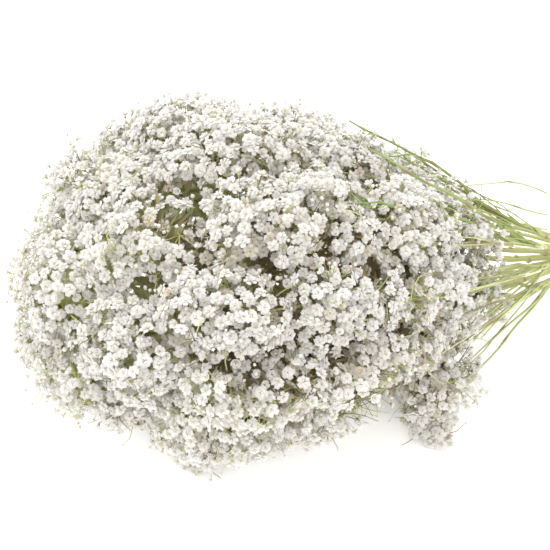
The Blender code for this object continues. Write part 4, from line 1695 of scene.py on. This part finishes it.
class GYPSOPHILA_OT_flowers(bpy.types.Operator):
    """Makes the white flowers and buds of every spray"""

    bl_idname = "gypsophila.flowers"
    bl_label = "Make Flowers"

    def execute(self, context):
        sizes = context.scene.gypsophila_sizes
        finish = petal_finish(context.scene.gypsophila_finishes)
        shapes = flower_shapes()
        tree = flower_tree()
        for index, (flowers, _) in grown(sizes).items():
            carrier = flowers.carrier(f"flowers_{index + 1:02d}")
            piece = grow_mesh(carrier, tree, {
                "Shapes": shapes, "Flower Width": sizes.flower_width, "Seed": SEED + index,
                "Finish": finish,
            }, ("heart", "tint"))
            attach(piece, "root")
            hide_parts(f"head_{index + 1:02d}")
        clear_shapes(shapes)
        return {"FINISHED"}


class GYPSOPHILA_OT_stalks(bpy.types.Operator):
    """Makes the stems, branches, flower stalks, green cups and leaves of every spray"""

    bl_idname = "gypsophila.stalks"
    bl_label = "Make Stalks"

    def execute(self, context):
        sizes = context.scene.gypsophila_sizes
        finish = stem_finish(context.scene.gypsophila_finishes)
        shapes = green_shapes()
        tree = stalk_tree()
        for index, (_, stalks) in grown(sizes).items():
            carrier = stalks.carrier(f"stalks_{index + 1:02d}")
            piece = grow_mesh(carrier, tree, {
                "Shapes": shapes, "Stem Sides": sizes.stem_sides, "Stalk Sides": sizes.stalk_sides,
                "Flower Width": sizes.flower_width, "Seed": SEED + index, "Finish": finish,
            }, ("tint", "knuckle"))
            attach(piece, "root")
            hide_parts(f"stem_{index + 1:02d}")
        clear_shapes(shapes)
        return {"FINISHED"}


class GYPSOPHILA_OT_band(bpy.types.Operator):
    """Gives the rubber band its finish"""

    bl_idname = "gypsophila.band"
    bl_label = "Finish Band"

    def execute(self, context):
        finish = band_finish(context.scene.gypsophila_finishes)
        band = frame["nodes"]["band"]
        band.data.materials.clear()
        band.data.materials.append(finish)
        return {"FINISHED"}


class GYPSOPHILA_OT_stage(bpy.types.Operator):
    """Sets up the floor, the lights and the camera"""

    bl_idname = "gypsophila.stage"
    bl_label = "Set Up Stage"

    def execute(self, context):
        scene = context.scene
        stage = scene.gypsophila_stage
        mesh = bpy.data.meshes.new("floor")
        edge = FLOOR_HALF_WIDTH
        corners = [(-edge, -edge, 0), (edge, -edge, 0), (edge, edge, 0), (-edge, edge, 0)]
        mesh.from_pydata(corners, [], [(0, 1, 2, 3)])
        floor = bpy.data.objects.new("floor", mesh)
        scene.collection.objects.link(floor)
        mesh.materials.append(floor_finish(scene.gypsophila_finishes))
        world = bpy.data.worlds.new("white surroundings")
        world.use_nodes = True
        sky = world.node_tree.nodes["Background"]
        sky.inputs["Color"].default_value = (1.0, 1.0, 1.0, 1.0)
        sky.inputs["Strength"].default_value = stage.sky
        scene.world = world
        self.light("key", KEY_PLACE, KEY_SIZE, stage.key_power)
        self.light("fill", FILL_PLACE, FILL_SIZE, stage.fill_power)
        self.camera(scene, stage)
        scene.view_settings.view_transform = "Standard"
        scene.view_settings.exposure = stage.exposure
        scene.view_settings.gamma = stage.gamma
        return {"FINISHED"}

    def light(self, name, place, size, power):
        """A square soft light that looks at the bunch."""
        data = bpy.data.lights.new(name, "AREA")
        data.size = size
        data.energy = power
        lamp = bpy.data.objects.new(name, data)
        bpy.context.scene.collection.objects.link(lamp)
        lamp.location = place
        way = mathutils.Vector(LIT_PLACE) - lamp.location
        lamp.rotation_euler = way.to_track_quat("-Z", "Y").to_euler()

    def camera(self, scene, stage):
        """The camera at the photograph's angle."""
        turn, rise = stage.azimuth, stage.elevation
        back = mathutils.Vector((
            math.sin(turn) * math.cos(rise), -math.cos(turn) * math.cos(rise), math.sin(rise)))
        data = bpy.data.cameras.new("camera")
        data.lens = stage.lens
        data.sensor_width = SENSOR_WIDTH
        eye = bpy.data.objects.new("camera", data)
        scene.collection.objects.link(eye)
        eye.location = mathutils.Vector(SEEN_PLACE) + back * stage.distance
        eye.rotation_euler = (-back).to_track_quat("-Z", "Y").to_euler()
        scene.camera = eye


class GYPSOPHILA_PT_sidebar(bpy.types.Panel):
    """The steps that dress the bunch"""

    bl_idname = "GYPSOPHILA_PT_sidebar"
    bl_label = "Gypsophila Bunch"
    bl_space_type = "VIEW_3D"
    bl_region_type = "UI"
    bl_category = "Gypsophila"

    def draw(self, context):
        for group in (
            context.scene.gypsophila_sizes,
            context.scene.gypsophila_finishes,
            context.scene.gypsophila_stage,
        ):
            box = self.layout.box()
            for name in group.__annotations__:
                box.prop(group, name)
        for step in STEPS:
            self.layout.operator(step.bl_idname)


STEPS = (GYPSOPHILA_OT_flowers, GYPSOPHILA_OT_stalks, GYPSOPHILA_OT_band, GYPSOPHILA_OT_stage)
GROUPS = (GypsophilaSizes, GypsophilaFinishes, GypsophilaStage)


def clear_shapes(collection):
    """Removes the single shapes once the pieces are made from them."""
    for left in list(collection.objects):
        bpy.data.objects.remove(left)
    bpy.data.collections.remove(collection)


def register():
    """Adds the classes and the properties of the scene."""
    for made in (*GROUPS, *STEPS, GYPSOPHILA_PT_sidebar):
        bpy.utils.register_class(made)
    bpy.types.Scene.gypsophila_sizes = PointerProperty(type=GypsophilaSizes)
    bpy.types.Scene.gypsophila_finishes = PointerProperty(type=GypsophilaFinishes)
    bpy.types.Scene.gypsophila_stage = PointerProperty(type=GypsophilaStage)


def unregister():
    """Takes the properties and the classes away again."""
    del bpy.types.Scene.gypsophila_stage
    del bpy.types.Scene.gypsophila_finishes
    del bpy.types.Scene.gypsophila_sizes
    for made in (GYPSOPHILA_PT_sidebar, *reversed(STEPS), *reversed(GROUPS)):
        bpy.utils.unregister_class(made)


def main():
    """Runs every step in order."""
    register()
    bpy.ops.gypsophila.flowers()
    bpy.ops.gypsophila.stalks()
    bpy.ops.gypsophila.band()
    bpy.ops.gypsophila.stage()


if __name__ == "__main__":
    main()
